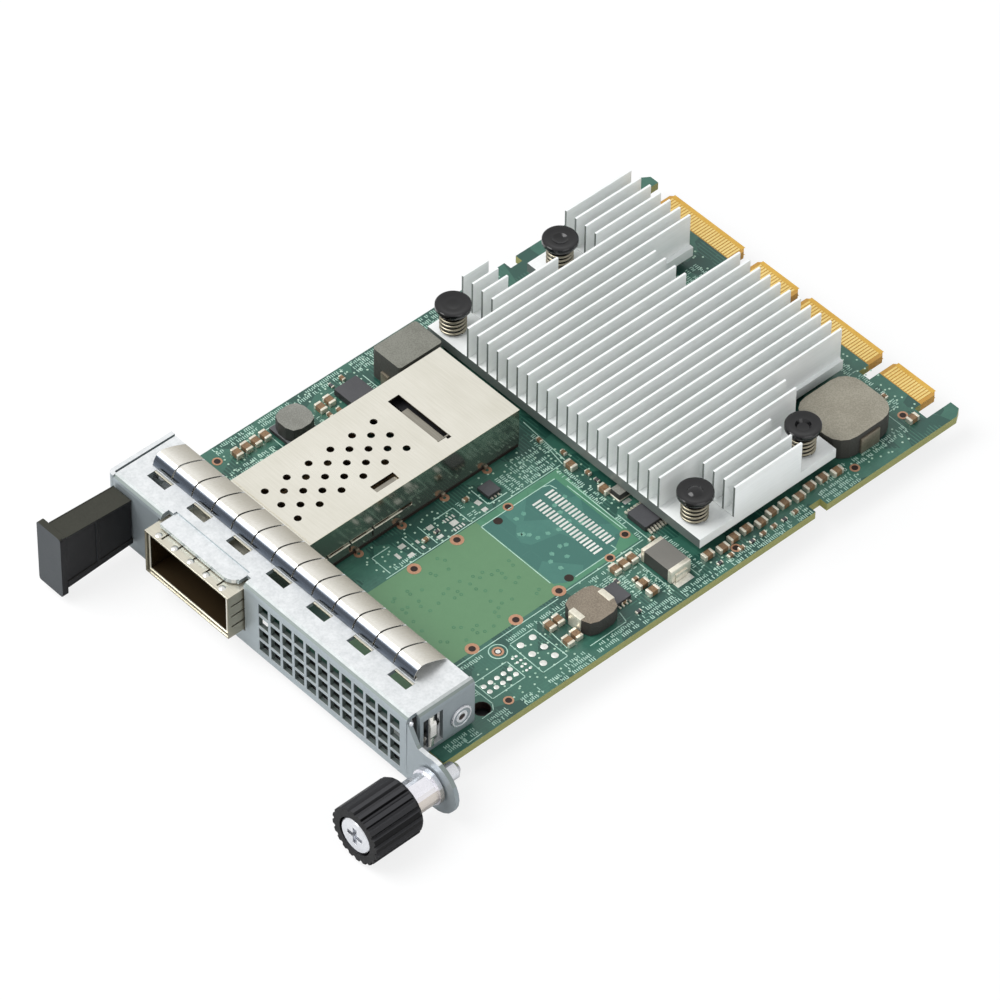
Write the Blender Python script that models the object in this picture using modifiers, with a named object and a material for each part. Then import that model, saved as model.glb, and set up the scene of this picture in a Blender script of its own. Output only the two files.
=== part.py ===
"""Ethernet adapter card with one pluggable optics port, a finned heatsink and a captive thumbscrew.

Sizes are in millimetres while shapes are built, and each object's mesh is stored in metres.
+Z points away from the board's component side, and the faceplate looks along -Y.
While shapes are built, Z is 0 on the board's top, X is 0 on its centre line and Y is 0 on the
faceplate's front. The finished card is shifted so that its origin is under its middle.
"""
import math

import bmesh
import bpy
from mathutils import Matrix, Vector

MM = 0.001
SEAT = 0.3
SOLDER_GAP = 0.2
CUT_MARGIN = 1.0
JOIN = 0.1

# edge tongues: contacts, gaps from left to right and the tabs beside them set the board's width
CONTACT_PITCH = 0.6
CONTACT_COUNTS = (28, 14, 28, 14)
TONGUE_SIDE = 0.95
TONGUE_GAPS = (3.66, 3.35, 1.96, 2.49, 2.94)
TONGUE_DEPTH = 6.3
TONGUE_CHAMFER = 0.8
SIDE_TAB = 3.0
SIDE_TAB_DEPTH = 5.5
SIDE_TAB_CORNER = (1.1, 1.6)
TONGUE_WIDTHS = [(count - 1) * CONTACT_PITCH + 2 * TONGUE_SIDE for count in CONTACT_COUNTS]

# circuit board
BOARD_WIDTH = 2 * SIDE_TAB + sum(TONGUE_GAPS) + sum(TONGUE_WIDTHS)
BOARD_LEFT = -BOARD_WIDTH / 2
BOARD_RIGHT = BOARD_WIDTH / 2
BOARD_THICK = 1.57
BOARD_SETBACK = 4.4
LATCH_DEPTH = 1.6
LATCH_LENGTH = 2.6
LATCH_FROM_REAR_RIGHT = 33.9
LATCH_FROM_REAR_LEFT = 32.6
REAR_MARGIN = 9.2
TOOLING_HOLE = 1.15
SMALL_HOLE = 0.8
LOCATING_HOLE = 1.5
MOUNTING_HOLE = 3.1
MOUNTING_HOLE_INSET = 4.4
MOUNTING_HOLE_SETBACK = 12.1

# optics cage
CAGE_INSET = 13.9
CAGE_WIDTH = 19.2
CAGE_LEFT = BOARD_LEFT + CAGE_INSET
CAGE_RIGHT = CAGE_LEFT + CAGE_WIDTH
CAGE_TOP = 8.6
CAGE_LENGTH = 62.6
CAGE_FRONT = -2.9
CAGE_REAR = CAGE_FRONT + CAGE_LENGTH
CAGE_WALL = 0.4
CAGE_FLOOR_SHARE = 0.7
COLLAR_FRONT = CAGE_FRONT - 0.4
COLLAR_DEPTH = 6.2
COLLAR_SHEET = 0.2
COLLAR_SLIT = 0.35
COLLAR_TIP = 0.7
CAGE_VENT = 1.35
CAGE_VENT_COLUMNS = 5
CAGE_VENT_X_PITCH = 2.0
CAGE_VENT_Y_PITCH = 4.67
CAGE_VENT_INSET = 5.5
CAGE_VENT_SETBACK = 19.8
SLOT_INSET_LEFT = 3.6
SLOT_INSET_RIGHT = 3.3
SLOT_FROM_REAR = 14.7
SLOT_DEPTH = 2.4
SLOT_HOOK = (0.5, 0.8)
LATCH_WINDOW = (1.7, 4.9)
LATCH_WINDOW_FROM_RIGHT = 1.5
LATCH_WINDOW_FROM_REAR = 29.6
CLIP_SLOT = (3.0, 0.8)
CLIP_SLOT_COUNT = 4
CLIP_SLOT_PITCH = 4.9
CLIP_SLOT_SETBACK = 21.5
CLIP_SLOT_LEVEL = 2.6
RECEPTACLE_FROM_REAR = 13.1
RECEPTACLE_LENGTH = 9.9
RECEPTACLE_DROP = 2.0
RECEPTACLE_SIDE = 1.0
RECEPTACLE_MOUTH = (1.6, 5.9)
SECOND_CAGE_OFFSET = 28.0

# faceplate
SHEET = 0.8
FOLD_RADIUS = 0.9
FACE_BOTTOM = -3.35
FACE_OVER_CAGE = 1.85
FACE_TOP = CAGE_TOP + FACE_OVER_CAGE
FACE_LEFT = BOARD_LEFT + 0.6
FACE_RIGHT = BOARD_RIGHT - 2.8
FLANGE_DEPTH = 13.2
SIDE_FLANGE_REAR = 13.4
SIDE_FLANGE_FRONT = 1.9
FOOT_WIDTH = 7.0
SLIT = 0.4
VENT_HOLE = 2.25
VENT_PITCH = 2.83
VENT_LEFT = CAGE_RIGHT + 4.23
VENT_TOP = FACE_TOP - 1.72
VENT_MARGIN_RIGHT = 2.4
VENT_MARGIN_BOTTOM = 1.2
VENT_WEB = VENT_PITCH - VENT_HOLE
VENT_COLUMNS = int((FACE_RIGHT - VENT_MARGIN_RIGHT + VENT_WEB - VENT_LEFT) / VENT_PITCH)
VENT_ROWS = int((VENT_TOP + VENT_WEB - VENT_MARGIN_BOTTOM - FACE_BOTTOM) / VENT_PITCH)
CLIP_WINDOWS = 7
CLIP_WINDOW_WIDTH = 4.35
CLIP_WINDOW_LEFT = FACE_LEFT + 4.97
CLIP_WINDOW_END = FACE_RIGHT - 5.53
CLIP_WINDOW_PITCH = (CLIP_WINDOW_END - CLIP_WINDOW_WIDTH - CLIP_WINDOW_LEFT) / (CLIP_WINDOWS - 1)
CLIP_WINDOW_FRONT = 3.95
CLIP_WINDOW_DEPTH = 1.95
HOOD_LEFT = CAGE_LEFT + 0.9
HOOD_RIGHT = CAGE_RIGHT - 0.5
HOOD_FRONT = -1.2
HOOD_DROP = 0.25
HOOD_STEP = 2.3
HOOD_REAR = 3.3
HOOD_CORNER = 2.4
RELIEF = 1.1
SIDE_WINDOW_FRONT = 2.6
SIDE_WINDOW_DEPTH = 4.1
SIDE_WINDOW_BOTTOM = 1.8
SIDE_WINDOW_TOP = FACE_TOP - 1.85
NUT_Y = 10.4
NUT_Z = 4.4
NUT_FLANGE = 4.3
NUT_BARREL = 3.2
NUT_BORE = 1.8
NUT_RIM = 0.25
NUT_REACH = 1.5
FOOT_SCREW_INSET = 4.3
FOOT_SCREW_Y = 8.2
FOOT_SCREW_SHANK = 2.0
FOOT_SCREW_HEAD = 3.8
FOOT_SCREW_HEAD_THICK = 1.25

# captive thumbscrew, drawn back out of the chassis
SCREW_X = FACE_RIGHT + 5.1
SCREW_Z = 0.4
EAR_RADIUS = 5.4
EAR_SHOULDER = 1.3
EAR_SHOULDER_LEVEL = 5.7
EAR_HOLE = 5.2
KNOB_DIAMETER = 10.4
KNOB_FRONT = -16.2
KNOB_REAR = -5.9
KNOB_RIBS = 20
KNOB_RIB_DEPTH = 0.42
SCREW_HEAD = 6.5
SCREW_HEAD_THICK = 1.8
SCREW_RECESS = (3.4, 0.9, 1.0)
SCREW_SHANK = 3.0
SCREW_TIP = 5.2
FERRULE_DIAMETER = 5.8
FERRULE_COLLAR = 0.9
FERRULE_RIM = 0.35

# spring finger strip on the top flange
STRIP_LEFT = FACE_LEFT + 3.8
STRIP_RIGHT = FACE_RIGHT - 5.9
FINGER_COUNT = 13
FINGER_SLIT = 0.35
FINGER_SHEET = 0.2
FINGER_GAP = 0.2
FINGER_RISE = 2.2
STRIP_FRONT = 6.1
STRIP_REAR = 13.0

# chip, pad, heatsink and its push pins
CHIP_SIZE = 25.0
CHIP_TOP = 1.0
PAD_MARGIN = 2.0
PAD_THICK = 0.55
PAD_GAP = 0.15
SINK_HALF = BOARD_WIDTH / 2 - 5.4
SINK_FRONT = CAGE_REAR + 4.95
SINK_LENGTH = 45.55
SINK_REAR = SINK_FRONT + SINK_LENGTH
BOARD_REAR = SINK_REAR + REAR_MARGIN
SINK_BOTTOM = CHIP_TOP + PAD_THICK + 2 * PAD_GAP
SINK_BASE = 2.0
FIN_HEIGHT = 6.75
FIN_TOP = SINK_BOTTOM + SINK_BASE + FIN_HEIGHT
FIN_COUNT = 28
FIN_THICK = 0.4
MILL_DEPTH = 0.05
CHIP_Y = SINK_FRONT + 19.35
POCKET_REACH = 8.9
POCKET_FRONT_DEPTH = 7.55
RIGHT_BASE_REAR = SINK_REAR - 15.0
RIGHT_FIN_END = RIGHT_BASE_REAR - 8.0
RIGHT_STEP = 13.7
LEFT_EAR_REAR = SINK_REAR - 14.8
LEFT_EAR_FRONT = LEFT_EAR_REAR - 8.4
LEFT_FIN_END = LEFT_EAR_FRONT - 9.15
LEFT_STEP = 6.2
NOTCH_LEFT = -16.9
NOTCH_WIDTH = 10.0
NOTCH_DEPTH = 10.1
PIN_PLACES = ((3.2 - SINK_HALF, SINK_FRONT + 2.75), (3.6 - SINK_HALF, LEFT_EAR_REAR - 4.4),
              (SINK_HALF - 4.5, SINK_FRONT + 3.05), (SINK_HALF - 3.7, RIGHT_BASE_REAR - 4.2))
PIN_HEAD = 6.2
PIN_HEAD_THICK = 1.05
PIN_NECK = 4.3
PIN_NECK_LENGTH = 1.1
PIN_SHAFT = 3.0
PIN_TOP = FIN_TOP - 0.85
PIN_NECK_BOTTOM = PIN_TOP - PIN_HEAD_THICK - PIN_NECK_LENGTH
PIN_BARB = 4.2
PIN_SPLIT = 0.6
PIN_LENGTH_BELOW = 2.4
SPRING_OUTER = 4.7
SPRING_WIRE = 0.45
SPRING_TURNS = 4
SPRING_STEPS = 10

# pull tab, taller at its front than at the faceplate
TAB_LEFT = FACE_LEFT + 1.7
TAB_WIDTH = 4.2
TAB_RIGHT = TAB_LEFT + TAB_WIDTH
TAB_HEIGHT = 10.0
TAB_TOP = FACE_TOP - 1.95
TAB_BOTTOM = TAB_TOP - TAB_HEIGHT
TAB_SPREAD = 0.9
TAB_FRONT = -15.0
TAB_PLATE = 1.2
TAB_PLATE_CORNER = 0.5
TAB_PLATE_LEFT = FACE_LEFT
TAB_PLATE_BOTTOM = -3.95
TAB_SCREW_HEAD = 3.0
TAB_SCREW_HEAD_THICK = 1.2
TAB_SCREW_INSET = 1.8
TAB_SCREW_PITCH = 3.6
TAB_SCREW_SHANK = 1.8
TAB_SCREW_DEPTH = 5.0

# soldered parts: centre X, centre Y, width, length, top and, where it has one, corner radius
LARGE_INDUCTOR = (BOARD_RIGHT - 10.75, SINK_REAR - 8.05, 12.1, 13.1, 4.45, 3.6)
TALL_INDUCTOR = (BOARD_LEFT + 8.45, SINK_FRONT - 7.2, 6.7, 9.5, 6.6, 0.5)
LEFT_CHOKE = (BOARD_LEFT + 6.4, SINK_FRONT - 30.05, 5.6, 5.6, 3.7, 1.9)
RIGHT_CHOKE = (BOARD_RIGHT - 7.2, SINK_FRONT - 22.05, 7.0, 7.0, 3.1, 1.9)
TANTALUM = (BOARD_RIGHT - 7.45, SINK_FRONT - 5.5, 7.0, 4.3, 2.8, 0.15)
REGULATOR = (BOARD_RIGHT - 17.2, SINK_FRONT - 0.35, 4.4, 5.0, 1.2, 0.15)
RIGHT_CHIP = (BOARD_RIGHT - 7.9, SINK_FRONT - 16.15, 4.0, 3.2, 1.0)
LEFT_CHIP = (BOARD_LEFT + 6.6, SINK_FRONT - 17.25, 4.6, 4.8, 1.5)
SMALL_CHIP = (CAGE_RIGHT + 4.3, SINK_FRONT - 15.45, 2.7, 2.7, 0.85)
CHIP_CAPACITOR = (2.0, 1.25, 0.95)
LEFT_ROW_PITCH = 2.0
LEFT_ROW_SETBACK = 34.45
RIGHT_ROW_PITCH = 2.85
RIGHT_ROW_START = 0.95
STRAP_THICK = 0.35
LEG_COUNT = 7
LEG_PITCH = 0.65
LEG_WIDTH = 0.3
LEG_REACH = 1.0
LEG_TOP = 0.4

# sheet under the board
INSULATOR_THICK = 0.25
INSULATOR_INSET = 3.0
INSULATOR_FRONT = 0.6
INSULATOR_REAR = 9.0
INSULATOR_CORNER = 1.5

CARD_RIGHT = SCREW_X + EAR_RADIUS
CARD_BOTTOM = SCREW_Z - EAR_RADIUS
ORIGIN = Vector(((BOARD_LEFT + CARD_RIGHT) / 2, (KNOB_FRONT + BOARD_REAR) / 2, CARD_BOTTOM))

COLOURS = {
    "solder_mask": (0.05, 0.17, 0.11, 0.45, 0.0),
    "zinc": (0.58, 0.61, 0.63, 0.35, 0.9),
    "spring_steel": (0.72, 0.72, 0.70, 0.25, 1.0),
    "nickel": (0.71, 0.70, 0.63, 0.4, 0.7),
    "aluminium": (0.62, 0.65, 0.63, 0.45, 0.8),
    "black_nylon": (0.02, 0.02, 0.02, 0.5, 0.0),
    "steel": (0.65, 0.65, 0.66, 0.3, 1.0),
    "ferrite": (0.25, 0.24, 0.19, 0.7, 0.0),
    "moulding": (0.03, 0.03, 0.03, 0.6, 0.0),
    "laminate": (0.12, 0.13, 0.14, 0.4, 0.1),
    "silicone": (0.55, 0.56, 0.60, 0.8, 0.0),
    "film": (0.01, 0.01, 0.01, 0.55, 0.0),
}


def material(name):
    """Return the named Principled material, made on first use."""
    found = bpy.data.materials.get(name)
    if found:
        return found
    made = bpy.data.materials.new(name)
    made.use_nodes = True
    shader = made.node_tree.nodes["Principled BSDF"]
    red, green, blue, roughness, metallic = COLOURS[name]
    shader.inputs["Base Color"].default_value = (red, green, blue, 1.0)
    shader.inputs["Roughness"].default_value = roughness
    shader.inputs["Metallic"].default_value = metallic
    made.diffuse_color = (red, green, blue, 1.0)
    return made


def clear_scene():
    """Remove every object of the scene."""
    for item in list(bpy.data.objects):
        bpy.data.objects.remove(item, do_unlink=True)


def new_collection(name):
    """Link a new collection to the scene."""
    made = bpy.data.collections.new(name)
    bpy.context.scene.collection.children.link(made)
    return made


clear_scene()
CARD = new_collection("ethernet_adapter_card")
CUTTERS = new_collection("cutters")


def store(name, mesh, finish, smooth=False):
    """Make a card object from a mesh in millimetres and give it its material."""
    mesh.transform(Matrix.Scale(MM, 4) @ Matrix.Translation(-ORIGIN))
    if smooth:
        mesh.shade_smooth()
        mesh.set_sharp_from_angle(angle=math.radians(35))
    item = bpy.data.objects.new(name, mesh)
    if finish is None:
        CUTTERS.objects.link(item)
        item.hide_render = True
        item.display_type = "WIRE"
        return item
    mesh.materials.append(material(finish))
    CARD.objects.link(item)
    return item


def mesh_of(bm, name):
    """Turn a bmesh into mesh data with faces out."""
    bmesh.ops.recalc_face_normals(bm, faces=bm.faces)
    mesh = bpy.data.meshes.new(name)
    bm.to_mesh(mesh)
    bm.free()
    return mesh


def add_box(bm, low, high):
    """Add a cube primitive stretched between two corners."""
    size = Vector(high) - Vector(low)
    centre = (Vector(high) + Vector(low)) / 2
    place = Matrix.Translation(centre) @ Matrix.Diagonal((*size, 1.0))
    return bmesh.ops.create_cube(bm, size=1.0, matrix=place)["verts"]


def add_cylinder(bm, centre, diameter, depth, axis="Z", sides=16):
    """Add a capped cylinder primitive along an axis."""
    turn = {"Z": Matrix(), "Y": Matrix.Rotation(math.pi / 2, 4, "X"),
            "X": Matrix.Rotation(math.pi / 2, 4, "Y")}[axis]
    place = Matrix.Translation(centre) @ turn @ Matrix.Rotation(math.pi / sides, 4, "Z")
    bmesh.ops.create_cone(bm, cap_ends=True, segments=sides, radius1=diameter / 2,
                          radius2=diameter / 2, depth=depth, matrix=place)


def box(name, low, high, finish):
    """Make a box object."""
    bm = bmesh.new()
    add_box(bm, low, high)
    return store(name, mesh_of(bm, name), finish)


def flat_mesh(name, loops, low, high, plane="XY"):
    """Extrude flat outlines, the first outside and the rest holes, between two levels."""
    curve = bpy.data.curves.new(name, "CURVE")
    curve.dimensions = "2D"
    curve.fill_mode = "BOTH"
    curve.extrude = (high - low) / 2
    for loop in loops:
        spline = curve.splines.new("POLY")
        spline.points.add(len(loop) - 1)
        for point, (u, v) in zip(spline.points, loop):
            point.co = (u, v, 0.0, 1.0)
        spline.use_cyclic_u = True
    item = bpy.data.objects.new(name, curve)
    bpy.context.scene.collection.objects.link(item)
    bpy.context.view_layer.update()
    seen = item.evaluated_get(bpy.context.evaluated_depsgraph_get())
    mesh = bpy.data.meshes.new_from_object(seen)
    bpy.data.objects.remove(item, do_unlink=True)
    bm = bmesh.new()
    bm.from_mesh(mesh)
    bpy.data.meshes.remove(mesh)
    bmesh.ops.remove_doubles(bm, verts=bm.verts, dist=0.0001)
    bmesh.ops.dissolve_limit(bm, angle_limit=0.001, verts=bm.verts, edges=bm.edges)
    lift = Matrix.Translation((0, 0, (low + high) / 2))
    turn = {"XY": Matrix(),
            "XZ": Matrix(((1, 0, 0, 0), (0, 0, 1, 0), (0, 1, 0, 0), (0, 0, 0, 1))),
            "YZ": Matrix(((0, 0, 1, 0), (1, 0, 0, 0), (0, 1, 0, 0), (0, 0, 0, 1)))}[plane]
    bmesh.ops.transform(bm, matrix=turn @ lift, verts=bm.verts)
    return mesh_of(bm, name)


def flat(name, loops, low, high, finish, plane="XY"):
    """Make an object from extruded flat outlines."""
    return store(name, flat_mesh(name, loops, low, high, plane), finish)


def circle(u, v, diameter, sides=16, start=0.0):
    """Points of a circle."""
    angles = [start + 2 * math.pi * k / sides for k in range(sides)]
    return [(u + diameter / 2 * math.cos(a), v + diameter / 2 * math.sin(a)) for a in angles]


def rectangle(left, right, low, high):
    """Corners of a rectangle."""
    return [(left, low), (right, low), (right, high), (left, high)]


def rounded(left, right, low, high, radius, steps=4):
    """A rectangle with round corners."""
    points = []
    corners = ((right, high, 0), (left, high, 1), (left, low, 2), (right, low, 3))
    for u, v, quarter in corners:
        cu = u - radius if u == right else u + radius
        cv = v - radius if v == high else v + radius
        for k in range(steps + 1):
            angle = math.pi / 2 * (quarter + k / steps)
            points.append((cu + radius * math.cos(angle), cv + radius * math.sin(angle)))
    return points


def fold(points, radius, steps=3):
    """Round the inner corners of an open path."""
    path = [Vector(points[0])]
    for before, corner, after in zip(points, points[1:], points[2:]):
        corner = Vector(corner)
        back = (Vector(before) - corner).normalized()
        on = (Vector(after) - corner).normalized()
        half = back.angle(on) / 2
        reach = radius / math.tan(half)
        centre = corner + (back + on).normalized() * radius / math.sin(half)
        start = corner + back * reach - centre
        end = corner + on * reach - centre
        for k in range(steps + 1):
            path.append(centre + start.slerp(end, k / steps) if steps else centre + start)
    path.append(Vector(points[-1]))
    return path


def offset(path, distance):
    """Shift an open path to its left."""
    moved = []
    for k, point in enumerate(path):
        ahead = path[min(k + 1, len(path) - 1)] - point
        behind = point - path[max(k - 1, 0)]
        sides = [Vector((-d.y, d.x)).normalized() for d in (behind, ahead) if d.length > 1e-9]
        mean = sum(sides, Vector((0, 0))).normalized()
        moved.append(point + mean * distance / mean.dot(sides[0]))
    return moved


def sheet_loop(points, radius, thick, steps=3):
    """Closed section of a folded sheet whose outer side is the given path."""
    path = fold(points, radius, steps)
    inner = offset(path, thick)
    return [(p.x, p.y) for p in path] + [(p.x, p.y) for p in reversed(inner)]


def boolean(item, other, operation="DIFFERENCE"):
    """Cut or join with an exact Boolean."""
    modifier = item.modifiers.new(operation.lower(), "BOOLEAN")
    modifier.operation = operation
    modifier.solver = "EXACT"
    modifier.object = other
    return modifier


def cut_boxes(item, name, corners):
    """Cut a set of boxes out of an object."""
    bm = bmesh.new()
    for low, high in corners:
        add_box(bm, low, high)
    boolean(item, store(name, mesh_of(bm, name), None))


def cut_bores(item, name, bores, axis="Z", sides=12):
    """Cut a set of bores, each a centre, a diameter and a depth."""
    bm = bmesh.new()
    for centre, diameter, depth in bores:
        add_cylinder(bm, centre, diameter, depth, axis, sides)
    boolean(item, store(name, mesh_of(bm, name), None))


def turned(name, profile, centre, axis, finish, sides=20, smooth=True):
    """Turn a profile of (radius, level) points, top to bottom, about an axis."""
    bm = bmesh.new()
    points = [bm.verts.new((radius, 0, level)) for radius, level in profile]
    for first, second in zip(points, points[1:]):
        bm.edges.new((first, second))
    mesh = bpy.data.meshes.new(name)
    bm.to_mesh(mesh)
    bm.free()
    mesh.transform(Matrix.Scale(MM, 4))
    item = bpy.data.objects.new(name, mesh)
    if finish is None:
        CUTTERS.objects.link(item)
        item.hide_render = True
        item.display_type = "WIRE"
    else:
        CARD.objects.link(item)
        mesh.materials.append(material(finish))
    if axis == "Y":
        item.rotation_euler = (math.pi / 2, 0, 0)
    if axis == "X":
        item.rotation_euler = (0, math.pi / 2, 0)
    item.location = (Vector(centre) - ORIGIN) * MM
    screw = item.modifiers.new("screw", "SCREW")
    screw.steps = sides
    screw.render_steps = sides
    screw.use_merge_vertices = True
    screw.merge_threshold = 0.00001
    screw.use_smooth_shade = smooth
    return item


def make_board():
    """The board with its tongues, latch notches, holes and soldered chip capacitors."""
    rear = BOARD_REAR
    cut_x, cut_y = SIDE_TAB_CORNER
    latch = rear - LATCH_FROM_REAR_RIGHT
    outline = [(BOARD_LEFT, BOARD_SETBACK), (BOARD_RIGHT, BOARD_SETBACK), (BOARD_RIGHT, latch),
               (BOARD_RIGHT - LATCH_DEPTH, latch), (BOARD_RIGHT - LATCH_DEPTH, latch + LATCH_LENGTH),
               (BOARD_RIGHT, latch + LATCH_LENGTH), (BOARD_RIGHT, rear - cut_y), (BOARD_RIGHT - cut_x, rear),
               (BOARD_RIGHT - SIDE_TAB, rear), (BOARD_RIGHT - SIDE_TAB, rear - SIDE_TAB_DEPTH)]
    outline += [point for side in reversed(tongue_sides()) for point in tongue_outline(*side)]
    latch = rear - LATCH_FROM_REAR_LEFT
    outline += [(BOARD_LEFT + SIDE_TAB, rear - SIDE_TAB_DEPTH), (BOARD_LEFT + SIDE_TAB, rear),
                (BOARD_LEFT + cut_x, rear), (BOARD_LEFT, rear - cut_y), (BOARD_LEFT, latch + LATCH_LENGTH),
                (BOARD_LEFT + LATCH_DEPTH, latch + LATCH_LENGTH), (BOARD_LEFT + LATCH_DEPTH, latch),
                (BOARD_LEFT, latch)]
    board = flat("circuit_board", [outline] + board_holes(), -BOARD_THICK, 0, "solder_mask")
    bm = bmesh.new()
    for x, y, along, width, height in capacitor_places():
        add_box(bm, (x - along / 2, y - width / 2, -JOIN), (x + along / 2, y + width / 2, height))
    boolean(board, store("capacitor_bodies", mesh_of(bm, "capacitor_bodies"), None), "UNION")
    return board


def tongue_sides():
    """Left and right sides of each edge tongue, from left to right."""
    sides = []
    x = BOARD_LEFT + SIDE_TAB
    for gap, width in zip(TONGUE_GAPS, TONGUE_WIDTHS):
        sides.append((x + gap, x + gap + width))
        x += gap + width
    return sides


def tongue_outline(left, right):
    """A tongue's outline, from its right root to its left one."""
    root_right = SIDE_TAB_DEPTH if right == tongue_sides()[-1][1] else TONGUE_DEPTH
    root_left = SIDE_TAB_DEPTH if left == tongue_sides()[0][0] else TONGUE_DEPTH
    chamfer = TONGUE_CHAMFER
    return [(right, BOARD_REAR - root_right), (right, BOARD_REAR - chamfer), (right - chamfer, BOARD_REAR),
            (left + chamfer, BOARD_REAR), (left, BOARD_REAR - chamfer), (left, BOARD_REAR - root_left)]


def board_holes():
    """Outlines of the holes through the board."""
    holes = [circle(x, y, PIN_SHAFT + 2 * SEAT, 12) for x, y in PIN_PLACES]
    holes += [circle(foot_screw_x(side), FOOT_SCREW_Y, FOOT_SCREW_SHANK + 2 * SEAT, 12) for side in (-1, 1)]
    level = BOARD_SETBACK + MOUNTING_HOLE_SETBACK
    holes += [circle(x, level, MOUNTING_HOLE) for x in (BOARD_LEFT + MOUNTING_HOLE_INSET,
                                                        BOARD_RIGHT - MOUNTING_HOLE_INSET)]
    tooling = [(BOARD_RIGHT - 2.9, level + 4.35), (BOARD_LEFT + 2.9, level + 4.35),
               (BOARD_RIGHT - 2.8, SINK_FRONT + 5.7), (BOARD_RIGHT - 2.8, SINK_REAR - 13.05),
               (BOARD_RIGHT - 6.1, SINK_REAR + 1.2)]
    second = CAGE_LEFT + SECOND_CAGE_OFFSET
    for x, back, count in ((second + 0.1, 35.95, 2), (second + 19.25, 40.7, 3)):
        tooling += [(x, SINK_FRONT - back + 2 * CAGE_VENT_Y_PITCH * k) for k in range(count)]
    holes += [circle(x, y, TOOLING_HOLE, 8) for x, y in tooling]
    small = ((second + 0.1, 15.45), (second + 17.2, 5.55), (second + 19.4, 10.9))
    holes += [circle(x, SINK_FRONT - back, SMALL_HOLE, 8) for x, back in small]
    level = SINK_FRONT - 18.8
    holes += [circle(x, level, LOCATING_HOLE, 12) for x in (second + 1.3, second + 18.2)]
    return holes


def foot_screw_x(side):
    """Where a flange foot's screw stands."""
    if side > 0:
        return FACE_RIGHT - FOOT_SCREW_INSET
    return FACE_LEFT + FOOT_SCREW_INSET


def capacitor_places():
    """Chip capacitors: centre, length along X, width along Y, height."""
    long, short, top = CHIP_CAPACITOR
    places = []
    start = SINK_FRONT + RIGHT_ROW_START
    for k in range(int((RIGHT_BASE_REAR - start) / RIGHT_ROW_PITCH) + 1):
        shift = 0.5 if k % 3 == 1 else 0.0
        places.append((BOARD_RIGHT - 4.4 + shift, start + RIGHT_ROW_PITCH * k, short, long, top))
    last = SINK_FRONT - LEFT_ROW_SETBACK
    room = last - (BOARD_SETBACK + MOUNTING_HOLE_SETBACK + 5.5)
    across = [(BOARD_LEFT + 4.0, last - LEFT_ROW_PITCH * k) for k in range(int(room / LEFT_ROW_PITCH))]
    across += [(BOARD_LEFT + x, SINK_FRONT - back) for x, back in ((5.3, 23.45), (5.0, 21.35))]
    across += [(BOARD_RIGHT - 12.0, SINK_FRONT - 12.35 + 1.85 * k) for k in range(3)]
    across += [(BOARD_RIGHT - x, SINK_FRONT - back) for x, back in (
        (10.0, 28.45), (10.0, 26.65), (5.6, 28.55), (5.8, 26.65))]
    across += [(x, SINK_FRONT - back) for x, back in ((4.2, 1.85), (11.8, 1.45))]
    places += [(x, y, long, short, top) for x, y in across]
    along = [(BOARD_RIGHT - x, SINK_FRONT - back) for x, back in ((6.8, 11.15), (4.6, 11.05))]
    along.append((BOARD_RIGHT - 4.2, SINK_REAR + 1.5))
    places += [(x, y, short, long, top) for x, y in along]
    return places


def make_faceplate():
    """The folded sheet: perforated face, top flange, side flanges with feet, hood and ear."""
    top_left = FACE_LEFT + SHEET + SLIT
    side_top = FACE_RIGHT - FOLD_RADIUS
    section = sheet_loop([(0, FACE_BOTTOM), (0, FACE_TOP), (FLANGE_DEPTH, FACE_TOP)],
                         FOLD_RADIUS, -SHEET)
    plate = flat("faceplate", [section], top_left, side_top, "zinc", "YZ")
    foot_level = SEAT
    right = sheet_loop([(FACE_RIGHT - FOOT_WIDTH, foot_level), (FACE_RIGHT, foot_level),
                        (FACE_RIGHT, FACE_TOP), (side_top - JOIN, FACE_TOP)], FOLD_RADIUS, SHEET)
    side = flat("side_right", [right], SIDE_FLANGE_FRONT, SIDE_FLANGE_REAR, None, "XZ")
    boolean(plate, side, "UNION")
    wrap = sheet_loop([(top_left + JOIN, 0), (FACE_LEFT, 0), (FACE_LEFT, SIDE_FLANGE_REAR)],
                      FOLD_RADIUS, -SHEET)
    boolean(plate, flat("side_left", [wrap], foot_level, FACE_TOP, None), "UNION")
    left_foot = sheet_loop([(FACE_LEFT + FOOT_WIDTH, foot_level), (FACE_LEFT, foot_level),
                            (FACE_LEFT, foot_level + 3 * SHEET)], FOLD_RADIUS, -SHEET)
    foot = flat("foot_left", [left_foot], SIDE_FLANGE_FRONT, SIDE_FLANGE_REAR, None, "XZ")
    boolean(plate, foot, "UNION")
    corner = [(FACE_LEFT + FOLD_RADIUS, FACE_BOTTOM), (top_left + JOIN, FACE_BOTTOM),
              (top_left + JOIN, foot_level + JOIN), (FACE_LEFT + FOLD_RADIUS, foot_level + JOIN)]
    boolean(plate, flat("corner_left", [corner], 0, SHEET, None, "XZ"), "UNION")
    boolean(plate, flat("ear", [ear_outline()], 0, SHEET, None, "XZ"), "UNION")
    level = FACE_TOP - HOOD_DROP
    boolean(plate, flat("hood", [hood_outline()], level - SHEET, level, None), "UNION")
    cut_boxes(plate, "hood_step", [((HOOD_LEFT, HOOD_FRONT - CUT_MARGIN, level),
                                    (HOOD_RIGHT, HOOD_STEP, FACE_TOP + CUT_MARGIN))])
    cut_faceplate(plate)
    return plate


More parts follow.
